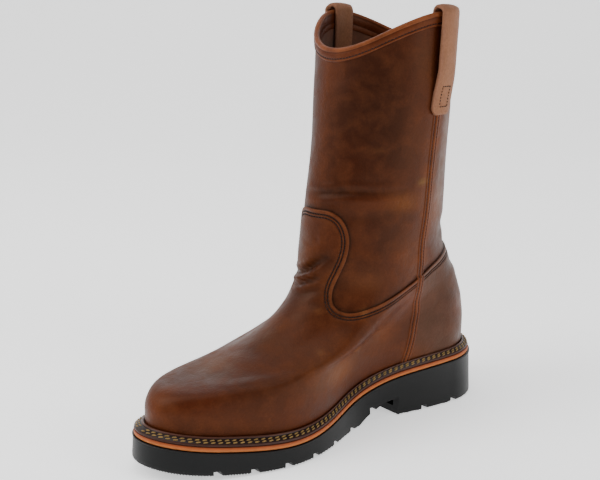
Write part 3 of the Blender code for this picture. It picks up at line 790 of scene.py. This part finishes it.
def grooveCuts(breast, arch):
    # the notches across the tread from both edges, and the fine sipes between them
    places = [heelBack - share * sole["heelLength"] for share in outsole["heelGrooves"]]
    spot = breast - outsole["firstGroove"] * outsole["shankLength"]
    while spot > heelBack - sole["length"] + outsole["pitch"]:
        places.append(spot)
        spot -= outsole["pitch"]
    waist, under = zip(*reversed(arch))
    half, sipeHalf = outsole["groove"] / 2, outsole["sipeWidth"] / 2
    cuts = []
    for spot in places:
        height = np.interp(spot, waist, under) if spot < breast else 0.0
        height += float(tread(np.array(spot)))
        foot, top = height - 3 * spare, height + outsole["depth"]
        outline = [
            (spot - half, foot),
            (spot + half + outsole["grooveLean"], foot),
            (spot + half, top),
            (spot - half, top),
        ]
        sipes = []
        for share in outsole["sipes"]:
            middle = spot + share * outsole["pitch"]
            if middle < breast - outsole["shankLength"] or middle > breast + outsole["sipeClear"]:
                level = float(tread(np.array(middle)))
                sipes.append([
                    (middle - sipeHalf, level - spare),
                    (middle + sipeHalf, level - spare),
                    (middle, level + outsole["sipeDepth"]),
                ])
        shapes = [(outline, outsole["spine"])] + [(sipe, outsole["sipeSpine"]) for sipe in sipes]
        for side in (-1, 1):
            for shape, spine in shapes:
                near, far = sorted((side * spine / 2, side * farOut))
                cuts.append(prism(shape, near, far))
    return cuts


def cutOut(body, shapes):
    cutter = makeMesh("cutter", *joined(shapes), "rubber", flat=True)
    form = bmesh.new()
    form.from_mesh(cutter.data)
    bmesh.ops.recalc_face_normals(form, faces=form.faces)
    form.to_mesh(cutter.data)
    form.free()
    modifier = body.modifiers.new("cut", "BOOLEAN")
    modifier.operation = "DIFFERENCE"
    modifier.solver = "EXACT"
    modifier.object = cutter
    graph = bpy.context.evaluated_depsgraph_get()
    mesh = bpy.data.meshes.new_from_object(body.evaluated_get(graph))
    body.modifiers.clear()
    body.data = mesh
    bpy.data.objects.remove(cutter)


def buildOutsole():
    body = makeMesh("rubberOutsole", *capped(rubberRings()), "rubber")
    breast = heelBack - sole["heelLength"]
    foot = breast - outsole["shankLength"]
    top = outsole["shankRise"]
    arch = [(breast - share * outsole["shankLength"], rise * top) for share, rise in shankArch]
    shank = prism([(breast, -spare), (breast, top), *arch[1:], (foot, -spare)], -farOut, farOut)
    inner, low, high = breast + outsole["recess"], outsole["rim"], top - spare
    pocketHalf = sole["widths"][0] / 2 - 2 * outsole["rim"]
    hollow = [(breast - spare, low), (inner, low), (inner, high), (breast - spare, high)]
    for shapes in ([shank], [prism(hollow, -pocketHalf, pocketHalf)], grooveCuts(breast, arch)):
        cutOut(body, shapes)
    body.data.set_sharp_from_angle(angle=math.radians(32))
    return dress(body, "rubber", "outsole")


buildOutsole()

print("building the midsole, welt and sock")
midsole = {"thickness": 0.0037, "inset": 0.0005, "lift": 0.0003, "steps": 420}
# across the edge: inset in mm, share of the thickness, colour
crepeProfile = (
    (3.0, 0.00, "#7a3a18"), (0.5, 0.00, "#7a3a18"), (0.12, 0.08, "#a85f30"), (0.0, 0.25, "#b56b38"),
    (0.0, 0.55, "#a05224"), (0.05, 0.85, "#8c411a"), (0.35, 0.97, "#5c2812"), (3.0, 1.00, "#4a200e"),
)


def buildMidsole():
    around = turnRound(midsole["steps"])
    rings, dye = [], []
    for inset, share, colour in crepeProfile:
        x, y = soleOutline(around, -midsole["inset"] - inset * mm)
        rings.append(np.stack([x, y, soleEdge(y) + midsole["lift"] + share * midsole["thickness"]], axis=-1))
        dye += [linear(colour)] * len(around)
    return dress(makeMesh("crepeMidsole", *capped(rings), "crepe", dye), "crepe", "midsole")


welt = {"inset": 0.0012, "gap": 0.0003, "steps": 420, "overlay": 0.0012}
# across from the upper to the edge, height in mm, colour. The near-black colours in the groove before the
# rib and on the rib's inner face down against the upper are painted shade.
weltProfile = (
    (1.00, 0.00, "#2a140c"),
    (1.03, 0.35, "#33190f"),
    (1.03, 1.30, "#3b1d12"),
    (0.97, 1.75, "#2a130d"),
    (0.90, 2.05, "#1d0d09"),
    (0.80, 2.55, "#1a0b08"),
    (0.66, 3.25, "#1d0d09"),
    (0.52, 3.85, "#1a0b08"),
    (0.43, 4.10, "#140906"),
    (0.39, 4.05, "#0f0705"),
    (0.36, 4.50, "#2c140d"),
    (0.31, 5.25, "#4a2b1f"),
    (0.22, 5.60, "#523226"),
    (0.12, 5.55, "#46291e"),
    (0.05, 5.20, "#2a1612"),
    (-0.04, 4.20, "#120807"),
    (-0.06, 0.00, "#120807"),
)
# The welt's thread in mm, and its two rows: across, height in mm and start as a share of the pitch.
weltThread = {"pitch": 5.3, "length": 3.5, "width": 1.25, "height": 0.62, "slant": 0.22}
weltRows = ((0.80, 2.62, 0.0), (0.55, 3.78, 0.5))


def weltPoint(around, across, rise):
    outerX, outerY = soleOutline(around, -welt["inset"])
    up = sectionPlaces[1] * rise / (footRings[1][1] * shaft["instep"])
    inner = place(around, up, welt["overlay"] + welt["gap"])
    x = inner[:, 0] + (outerX - inner[:, 0]) * across
    y = inner[:, 1] + (outerY - inner[:, 1]) * across
    return np.stack([x, y, seat(y) + rise], axis=-1)


def buildWelt():
    around = turnRound(welt["steps"])
    count = len(around)
    rings = [weltPoint(around, across, rise * mm) for across, rise, _ in weltProfile]
    dye = [linear(colour) for _, _, colour in weltProfile for _ in around]
    last = (len(rings) - 1) * count
    faces = gridFaces(len(rings), count)
    faces += [(last + i, last + (i + 1) % count, (i + 1) % count, i) for i in range(count)]
    return dress(makeMesh("stormWelt", np.concatenate(rings), faces, "welt", dye), "welt_leather", "welt")


def buildWeltStitches():
    around = np.linspace(0, 2 * math.pi, 900)
    sizes = {name: weltThread[name] * mm for name in ("pitch", "length", "width", "height")}
    rows = []
    for across, rise, start in weltRows:
        path = weltPoint(around, across, rise * mm)
        above = weltPoint(around, across - 0.1, (rise + 0.45) * mm)  # a step on, for the outward direction
        normals = unit(np.cross(above - path, np.gradient(path, axis=0)))
        normals *= np.sign(normals[:, 2:])
        offset = start * sizes["pitch"]
        rows.append(stitches(path, normals, **sizes, offset=offset, slant=weltThread["slant"]))
    return dress(makeMesh("weltStitches", *joined(rows), "goldThread"), "welt_leather")


# Section of the sock at its rim, in mm: how far in from the upper and how high over the seat.
sockProfile = ((0, 0.0), (0, 3.2), (0.8, 4.0), (6.0, 4.1))
sockGap = 0.0003


def buildSock():
    around = turnRound(120)
    outline = place(around, 0.0, -shaft["wall"] - sockGap, worn=False)
    outward = facing(around, np.zeros(len(around)))[:, :2]
    rings = []
    for inset, rise in sockProfile:
        ring = outline.copy()
        ring[:, :2] -= outward * inset * mm
        ring[:, 2] = seat(ring[:, 1]) + rise * mm
        rings.append(ring)
    return dress(makeMesh("sock", *capped(rings), "sock"), "insole_board", "insole")


buildMidsole()
buildWelt()
buildWeltStitches()
buildSock()

print("building the shaft and its lining")
# Top edge of the vamp, over its tongue and round the scallop, and on over the heel counter.
panelEdge = {
    "around": (0, 16, 27, 34, 38, 38, 35, 33, 34, 39, 47, 57, 68, 82, 98, 116, 142, 165, 180),
    "up": (
        0.565, 0.564, 0.552, 0.530, 0.500, 0.465, 0.435, 0.412, 0.392, 0.370,
        0.352, 0.341, 0.347, 0.360, 0.374, 0.396, 0.408, 0.416, 0.424,
    ),
}


def edgeCurve():
    edge = np.stack([np.radians(panelEdge["around"]), panelEdge["up"]], axis=-1)
    return finely(edge, 14)


shaftPiece = {
    "around": 330,
    "rows": 116,
    "start": 0.27,
    "seamRub": 0.4,
    "seamSpread": 7,
    "rubTop": 0.86,
    "underBand": 0.002,
    "panelsBelow": 0.62,
    "edgeClear": 4,  # mm from the panels' edge, where the seam's rub stops
    # painted shadow on the shaft along the panels' cut edge: how dark, and its spread in mm
    "edgeShadow": 0.75,
    "edgeShadowSpread": 1.6,
}


def grid(around, places, out=0.0):
    # the skin's points row by row, with the angle and the place up of each
    points = place(around[None], places[:, None], out).reshape(-1, 3)
    return points, np.tile(around, len(places)), np.repeat(places, len(around))


def buildShaft():
    around = np.linspace(-math.pi, math.pi, shaftPiece["around"], endpoint=False)
    places = np.linspace(shaftPiece["start"], bandStart + shaftPiece["underBand"], shaftPiece["rows"])
    points, angle, up = grid(around, places)
    seamGap = np.abs(np.abs(angle) - seamAngle(up)) * shaft["width"] / 2 / mm
    rub = shaftPiece["seamRub"] * np.exp(-((seamGap / shaftPiece["seamSpread"]) ** 2))
    rub = rub * (up < shaftPiece["rubTop"])
    edge = edgeCurve()
    edge = np.concatenate([edge, edge * (-1, 1)])
    near = up < shaftPiece["panelsBelow"]
    gap = np.full(len(points), 1000.0)
    gap[near] = nearestGap(points[near], place(edge[:, 0], edge[:, 1])) / mm
    rub = rub * (gap > shaftPiece["edgeClear"])
    # painted shadow along the panels' cut edge
    rub = rub - shaftPiece["edgeShadow"] * np.exp(-((gap / shaftPiece["edgeShadowSpread"]) ** 2))
    faces = gridFaces(len(places), len(around))
    piece = makeMesh("shaftLeather", points, faces, "boot", dyeAt(points, "#4d2a1d"), rub)
    return dress(piece, "leather", "upper")


lining = {"facingBand": 0.022, "facing": "#5f3a28", "colour": "#5a3d2c"}


def buildLining():
    around = np.linspace(-math.pi, math.pi, 200, endpoint=False)
    places = np.concatenate([np.linspace(1.0, 0.06, 60), [0.03, 0.0]])
    points, _, up = grid(around, places, -shaft["wall"])
    dye = np.tile(np.array(linear(lining["colour"])), (len(points), 1))
    dye[up > 1 - lining["facingBand"] * shaftStep] = linear(lining["facing"])
    faces = [tuple(reversed(face)) for face in gridFaces(len(places), len(around))]
    return dress(makeMesh("shaftLining", points, faces, "lining", dye), "leather")


# Section over the collar's rim: out of the skin and height over the rim in mm, how rubbed. A rub below zero
# is painted shade, along the band's cut edges and in its grooves.
collarProfile = (
    (-0.10, -9.7, -0.7),
    (0.30, -9.4, -0.3),
    (0.80, -9.0, 0.35),
    (0.98, -8.5, 0.30),
    (0.92, -7.9, 0.0),
    (0.55, -7.5, -0.75),
    (0.92, -7.1, 0.0),
    (1.22, -6.2, 0.1),
    (1.38, -4.8, 0.1),
    (1.28, -3.4, 0.05),
    (1.02, -2.8, -0.45),
    (1.32, -2.3, 0.5),
    (1.50, -1.4, 0.60),
    (1.32, -0.5, 0.7),
    (0.80, 0.25, 0.7),
    (0.10, 0.65, 0.7),
    (-0.80, 0.75, 0.7),
    (-1.60, 0.55, 0.6),
    (-2.35, 0.05, 0.5),
    (-2.78, -0.9, 0.4),
    (-2.85, -2.0, 0.0),
    (-2.70, -2.7, -0.4),
    (-2.90, -3.4, 0.0),
    (-2.75, -8.5, 0.0),
    (-2.45, -9.0, -0.6),
    (-2.70, -9.5, 0.0),
    (-2.75, -12.8, 0.1),
    (-2.60, -13.5, 0.2),
    (-2.10, -13.8, -0.5),
)


def buildCollar():
    around = np.linspace(-math.pi, math.pi, 420, endpoint=False)
    rings, rub = [], []
    for out, height, worn in collarProfile:
        up = np.full(len(around), 1 + min(height, 0) * mm * shaftStep)
        ring = place(around, up, out * mm)
        ring[:, 2] += max(height, 0) * mm
        rings.append(ring)
        rub.append(np.full(len(around), worn))
    points = np.concatenate(rings)
    faces = gridFaces(len(rings), len(around))
    dye = np.tile(waxed(linear("#5f3322")), (len(points), 1))
    return dress(makeMesh("collarBand", points, faces, "boot", dye, np.concatenate(rub)), "leather")


buildShaft()
buildLining()
buildCollar()

print("building the foot panels")
panelFoot = 0.003
# Section in from the panel's cut edge: distance and height in mm, how rubbed. A rub below zero is painted
# shade: a painted shadow at the cut edge and painted shade in the two stitch grooves.
edgeProfile = (
    (0.00, -0.10, -0.85),
    (0.06, 1.05, -0.20),
    (0.35, 1.38, 0.38),
    (1.10, 1.48, 0.30),
    (2.30, 1.42, 0.22),
    (2.95, 1.22, 0.0),
    (3.20, 0.75, -0.92),
    (3.80, 0.75, -0.92),
    (4.05, 1.20, 0.0),
    (4.60, 1.40, 0.22),
    (5.15, 1.22, 0.0),
    (5.40, 0.75, -0.88),
    (6.00, 0.75, -0.88),
    (6.25, 1.16, 0.0),
    (7.00, 1.28, 0.10),
    (8.60, 1.20, 0.05),
)
panel = {
    "stepAround": 0.021,
    "stepUp": 0.0072,
    "height": 1.2,  # mm, away from the edge
    "edgeReach": 9.9,  # mm, where the edge's own curves end
    "borderGap": 1.0,
    "spacing": 1.2,
    "overlap": 0.01,
}


def panelOutlines():
    # each panel's border, counter-clockwise from its foot, and its cut top edge
    fine = edgeCurve()
    inner = fine[fine[:, 0] <= seamAngle(fine[:, 1]) + panel["overlap"]]
    outer = fine[fine[:, 0] >= seamAngle(fine[:, 1]) - panel["overlap"]]
    vampTop = evenly(np.concatenate([inner[::-1], inner[1:] * (-1, 1)]), panel["spacing"] * mm)
    back = np.stack([2 * math.pi - outer[::-1, 0], outer[::-1, 1]], axis=-1)[1:]
    counterTop = evenly(np.concatenate([outer, back])[::-1], panel["spacing"] * mm)
    outlines = {}
    rise = np.linspace(panelFoot, 1, 60)
    for name, top, turn, side in (("vamp", vampTop, 0, 1), ("counter", counterTop, 2 * math.pi, -1)):
        firstUp = rise[rise < top[0, 1] - 0.003]
        lastUp = rise[rise < top[-1, 1] - 0.003][::-1]
        right = np.stack([turn + side * seamAngle(firstUp), firstUp], axis=-1)
        left = np.stack([-side * seamAngle(lastUp), lastUp], axis=-1)
        foot = np.linspace(left[-1, 0], right[0, 0], 240)[1:-1]
        bottom = np.stack([foot, np.full_like(foot, panelFoot)], axis=-1)
        outlines[name] = (np.concatenate([bottom, right, top, left]), top)
    return outlines


def buildPanel(name, outline, top, ground, material):
    # the border, the edge's curves and a lattice of points, meshed flat and then laid on the skin
    curves = [top] + [shifted(top, distance * mm) for distance, _, _ in edgeProfile[1:]]
    low, high = outline.min(axis=0), outline.max(axis=0)
    angles = np.arange(low[0] + panel["stepAround"], high[0], panel["stepAround"])
    rises = np.arange(panelFoot + panel["stepUp"] * 0.7, high[1], panel["stepUp"])
    lattice = np.stack(np.meshgrid(angles, rises), axis=-1).reshape(-1, 2)
    spots = skin(lattice[:, 0], lattice[:, 1])
    gap = nearestGap(spots, skin(top[::2, 0], top[::2, 1]))
    toBorder = nearestGap(spots, skin(outline[::2, 0], outline[::2, 1]))
    lattice = lattice[(gap > panel["edgeReach"] * mm) & (toBorder > panel["borderGap"] * mm)]
    plane = [tuple(point) for point in np.concatenate([outline, *curves[1:], lattice]) * unrolled]
    found = delaunay_2d_cdt(plane, [], [list(range(len(outline)))], 1, 1e-7)
    flat = np.array([tuple(point) for point in found[0]]) / unrolled
    height = np.full(len(flat), panel["height"])
    rub = np.zeros(len(flat))
    # which of the edge's curves each point came from
    firstTop = len(outline) - len(top) - np.argmax((outline[::-1] == top[-1]).all(axis=1))
    level = np.full(len(plane), -1)
    level[firstTop:firstTop + len(top)] = 0
    for number in range(1, len(curves)):
        first = len(outline) + (number - 1) * len(top)
        level[first:first + len(top)] = number
    for i, source in enumerate(found[3]):
        if source and level[source[0]] >= 0:
            _, height[i], rub[i] = edgeProfile[level[source[0]]]
    used = sorted({corner for face in found[2] for corner in face})
    numbers = {old: new for new, old in enumerate(used)}
    faces = [tuple(numbers[corner] for corner in face) for face in found[2]]
    points = place(flat[:, 0], flat[:, 1], height * mm)[used]
    piece = makeMesh(name, points, faces, material, dyeAt(points, ground), rub[used])
    return dress(piece, "leather")


outlines = panelOutlines()
buildPanel("vampLeather", *outlines["vamp"], "#553021", "boot")
buildPanel("counterLeather", *outlines["counter"], "#57403a", "counter")

print("building the side seams")
# From the seam's middle outward: offset and height in mm, how rubbed. Two stitched grooves flank its ridge.
# A rub below zero is painted shade, in those grooves and along the seam's outer edges.
halfSeam = (
    (0.0, 1.10, 0.40),
    (0.7, 0.95, 0.28),
    (1.35, 0.50, 0.12),
    (1.9, 0.05, -0.64),
    (2.5, 0.50, 0.16),
    (3.4, 0.55, 0.18),
    (4.2, 0.25, 0.08),
    (4.5, -0.15, -0.48),
)
seamProfile = tuple((-across, rise, worn) for across, rise, worn in halfSeam[:0:-1]) + halfSeam
seamPiece = {
    "foot": 0.012,
    "top": 0.835,
    "steps": 210,
    "onPanel": 1.2,  # mm, as high as the panels
    "stepRun": 0.008,
    "groove": 1.9,
    "threadRise": 0.22,
}
seamUp = np.linspace(seamPiece["foot"], seamPiece["top"], seamPiece["steps"])
seamMiddle = seamAngle(seamUp)


def panelTopAt(angle):
    start = panelEdge["around"].index(57)  # past the scallop, where the edge runs one way
    return np.interp(np.degrees(angle), panelEdge["around"][start:], panelEdge["up"][start:])


# the seam steps down from the foot panels to the shaft
seamBase = seamPiece["onPanel"] * ease((panelTopAt(seamMiddle) - seamUp) / seamPiece["stepRun"] + 0.5)


def buildSeam(side, name):
    columns = []
    for across, rise, _ in seamProfile:
        angle = side * (seamMiddle + angleFor(across * mm, seamMiddle, seamUp))
        columns.append(place(angle, seamUp, (rise + seamBase) * mm))
    points = np.stack(columns, axis=1).reshape(-1, 3)
    rub = np.tile([worn for _, _, worn in seamProfile], len(seamUp))
    faces = gridFaces(len(seamUp), len(seamProfile), closed=False)
    if side < 0:
        faces = [tuple(reversed(face)) for face in faces]
    dress(makeMesh(f"sideSeam{name}", points, faces, "boot", dyeAt(points, "#5f3422"), rub), "leather")


buildSeam(1, "Inner")
buildSeam(-1, "Outer")

# Thread in metres: along the seams, along the panels' edges and round the collar.
seamThread = {"pitch": 0.0025, "length": 0.0018, "width": 0.00095, "height": 0.00045}
edgeThread = {**seamThread, "pitch": 0.0026}
collarThread = {"pitch": 0.0026, "length": 0.0018, "width": 0.00090, "height": 0.00042}
edgeRows = {"from": (3.50, 5.70), "rise": 0.98}  # mm, in the grooves of edgeProfile
collarRow = {"below": 7.3, "rise": 0.80}


def buildUpperStitches():
    rows = []
    for side in (1, -1):
        for across in (-seamPiece["groove"], seamPiece["groove"]):
            angle = side * (seamMiddle + angleFor(across * mm, seamMiddle, seamUp))
            path = place(angle, seamUp, (seamPiece["threadRise"] + seamBase) * mm)
            rows.append(stitches(path, facing(angle, seamUp), **seamThread))
    for _, top in outlines.values():
        for distance in edgeRows["from"]:
            rows.append(stitches(*onSkin(shifted(top, distance * mm), edgeRows["rise"] * mm), **edgeThread))
    around = np.linspace(-math.pi, math.pi, 500)
    ring = np.stack([around, np.full_like(around, 1 - collarRow["below"] * mm * shaftStep)], axis=-1)
    rows.append(stitches(*onSkin(ring, collarRow["rise"] * mm), **collarThread))
    return dress(makeMesh("upperStitches", *joined(rows), "darkThread"), "leather")


buildUpperStitches()

print("building the pull straps")
strap = {
    "width": 0.022,
    "thickness": 0.0028,
    "outside": 0.074,
    "inside": 0.056,
    "rise": 0.0062,
    "gap": 0.0003,
    "innerGap": 0.0008,
    "lift": 0.0024,  # off the shaft above its sewn end
    "sewn": 0.008,
    "liftRun": 0.028,
    "clip": 0.0045,  # cut corners at the ends
    "endWidth": 0.66,
    "twist": 0.3,
}
# Section of the strap's outer half: share of its half width and of its thickness.
halfStrap = (
    (-1.0, 0.0), (-0.985, 0.32), (-0.93, 0.48), (-0.5, 0.5),
    (0.0, 0.5), (0.5, 0.5), (0.93, 0.48), (0.985, 0.32),
)
strapSection = halfStrap + tuple((-across, -rise) for across, rise in halfStrap)
strapSeat = strap["gap"] + strap["thickness"] / 2
# The box of stitches at each end: half its width as a share of the strap's, its ends in metres, its thread.
tack = {"half": 0.40, "low": 0.006, "high": 0.021, "steps": 14}
tackThread = {"pitch": 0.0023, "length": 0.0017, "width": 0.00090, "height": 0.00042}


def upAtHeight(around, height):
    places = np.linspace(0.4, 1, 241)
    return np.interp(height, skin(around, places)[:, 2], places)


def strapPath():
    # middle line of the loop: out of the skin, height over the rim, facing out and up
    over = strapSeat + strap["lift"]
    inside = -shaft["wall"] - strapSeat - strap["innerGap"]
    radius = (over - inside) / 2
    spring = strap["rise"] - strap["thickness"] / 2 - radius
    path = []
    for height in np.linspace(-strap["outside"], 0, 46):
        lifted = strap["lift"] * ease((height + strap["outside"] - strap["sewn"]) / strap["liftRun"])
        path.append((strapSeat + lifted, height, 1.0, 0.0))
    for turn in np.linspace(0, math.pi, 17):
        out, up = math.cos(turn), math.sin(turn)
        path.append(((over + inside) / 2 + radius * out, spring + radius * up, out, up))
    for height in np.linspace(-0.001, -strap["inside"], 34):
        path.append((inside, height, -1.0, 0.0))
    return path


def strapPoint(side, share, station, lift):
    # a point of the strap: share of its half width, lift as a share of its thickness
    out, height, facingOut, facingUp, narrow = station
    middle = float(seamAngle(1.0))
    rim = skin(middle, 1.0)[2]
    up = upAtHeight(middle, rim + min(height, 0.0))
    half = float(angleFor(strap["width"] / 2, middle, up)) * narrow
    twist = 1 - strap["twist"] * share * max(facingOut, 0) * (out - strapSeat) / strap["lift"]
    reach = lift * strap["thickness"]
    point = place(side * (middle + share * half), up, out * twist + reach * facingOut, worn=False)
    point[2] += max(height, 0.0) + reach * facingUp
    return point


def buildStrap(side, name):
    path = strapPath()
    run = runAlong(np.array(path)[:, :2])
    toEnd = np.minimum(run, run[-1] - run)
    rings, rub, stations = [], [], []
    for station, gap in zip(path, toEnd):
        narrow = strap["endWidth"] + (1 - strap["endWidth"]) * min(gap / strap["clip"], 1.0)
        stations.append((*station, narrow))
        rings.append([strapPoint(side, across, stations[-1], rise) for across, rise in strapSection])
        # cut edges and ends are rubbed pale
        rub += [0.75 if abs(across) > 0.9 or gap < 0.0005 else 0.12 for across, _ in strapSection]
    points = np.array(rings).reshape(-1, 3)
    count = len(strapSection)
    faces = gridFaces(len(rings), count)
    faces.append(tuple(reversed(range(count))))
    faces.append(tuple((len(rings) - 1) * count + i for i in range(count)))
    if side < 0:
        faces = [tuple(reversed(face)) for face in faces]
    dye = np.tile(waxed(linear("#a87f6c")), (len(points), 1))
    piece = makeMesh(f"pullStrap{name}", points, faces, "strap", dye, rub)
    dress(piece, "strap_leather", f"strap_{name.lower()}")
    return stations


def tackRow(side, stations):
    # a plain box of stitches where the strap is sewn down, at the end where its stations start
    half, low, high = tack["half"], tack["low"], tack["high"]
    outline = [(-half, low), (half, low), (half, high), (-half, high), (-half, low)]
    heights = np.array([station[1] for station in stations[:30]])
    path, normals = [], []
    for start, end in zip(outline, outline[1:]):
        for t in np.linspace(0, 1, tack["steps"], endpoint=False):
            across, rise = (first + (last - first) * t for first, last in zip(start, end))
            height = heights[0] + rise
            out, _, facingOut, facingUp, _ = stations[int(np.argmin(np.abs(heights - height)))]
            station = (out, height, facingOut, facingUp, 1.0)
            path.append(strapPoint(side, across, station, 0.5))
            normals.append(strapPoint(side, across, station, 1.0) - path[-1])
    path.append(path[0])
    normals.append(normals[0])
    return stitches(np.array(path), unit(np.array(normals)), **tackThread)


tacks = []
for side, name in ((1, "Inner"), (-1, "Outer")):
    stations = buildStrap(side, name)
    tacks += [tackRow(side, stations), tackRow(side, stations[::-1])]
dress(makeMesh("strapTacks", *joined(tacks), "darkThread"), "strap_leather")

print("setting the stage")
stage = {
    "back": 2.2,
    "front": -4.0,
    "halfWidth": 5.0,
    "height": 2.6,
    "radius": 1.1,
    "drop": -0.0002,
    "heading": math.radians(52),
    "paint": "#fafafa",
    "glow": 0.8,
}
worldLight = 0.25
lightTarget = (0, -0.10, 0.14)
# softboxes: where each stands, its width and height in metres, its power in watts
softboxes = {
    "keySoftbox": ((-0.55, -1.5, 1.25), (1.1, 1.1), 22),
    "sideSoftbox": ((1.7, 0.5, 0.8), (0.9, 1.5), 17),
    "topSoftbox": ((-0.1, -0.4, 1.9), (1.4, 1.4), 18),
}


def aim(thing, target):
    thing.rotation_euler = (Vector(target) - Vector(thing.location)).to_track_quat("-Z", "Y").to_euler()
    bpy.context.scene.collection.objects.link(thing)


def buildStage():
    # a pale floor that curves up into a pale wall behind
    bend, drop, radius = stage["back"] - stage["radius"], stage["drop"], stage["radius"]
    profile = [(stage["front"], drop), (bend, drop)]
    for turn in np.linspace(0, math.pi / 2, 24)[1:]:
        profile.append((bend + radius * math.sin(turn), drop + radius - radius * math.cos(turn)))
    profile.append((stage["back"], stage["height"]))
    ahead, aside = math.sin(stage["heading"]), math.cos(stage["heading"])
    points = []
    for along, rise in profile:
        for across in (-stage["halfWidth"], stage["halfWidth"]):
            points.append((aside * across - ahead * along, aside * along + ahead * across, rise))
    faces = [(2 * i, 2 * i + 1, 2 * i + 3, 2 * i + 2) for i in range(len(profile) - 1)]
    mesh = bpy.data.meshes.new("paleFloor")
    mesh.from_pydata(points, [], faces)
    mesh.shade_smooth()
    material, _, shader = newMaterial("pale floor paint", 0.9)
    shader.inputs["Base Color"].default_value = (*linear(stage["paint"]), 1)
    shader.inputs["Emission Color"].default_value = (1, 1, 1, 1)
    shader.inputs["Emission Strength"].default_value = stage["glow"]
    mesh.materials.append(material)
    floor = bpy.data.objects.new("paleFloor", mesh)
    bpy.context.scene.collection.objects.link(floor)


buildStage()
world = bpy.data.worlds.new("soft studio")
world.use_nodes = True
world.node_tree.nodes["Background"].inputs["Color"].default_value = (1.0, 1.0, 1.0, 1)
world.node_tree.nodes["Background"].inputs["Strength"].default_value = worldLight
bpy.context.scene.world = world
for name, (spot, size, power) in softboxes.items():
    data = bpy.data.lights.new(name, "AREA")
    data.shape = "RECTANGLE"
    data.size, data.size_y = size
    data.energy = power
    light = bpy.data.objects.new(name, data)
    light.location = spot
    aim(light, lightTarget)

print("setting the camera")
view = {
    "azimuth": math.radians(52),
    "elevation": math.radians(14),
    "distance": 0.8,
    "target": (0.0, -0.103, 0.140),
    "lens": 62.4,
    "shift": (-0.0308, 0.0133),
}
camera = bpy.data.cameras.new("camera")
camera.sensor_width = 36
camera.lens = view["lens"]
camera.shift_x, camera.shift_y = view["shift"]
camera.clip_start = 0.05
viewer = bpy.data.objects.new("camera", camera)
flatReach = view["distance"] * math.cos(view["elevation"])
viewer.location = (
    view["target"][0] + flatReach * math.sin(view["azimuth"]),
    view["target"][1] - flatReach * math.cos(view["azimuth"]),
    view["target"][2] + view["distance"] * math.sin(view["elevation"]),
)
aim(viewer, view["target"])
bpy.context.scene.camera = viewer
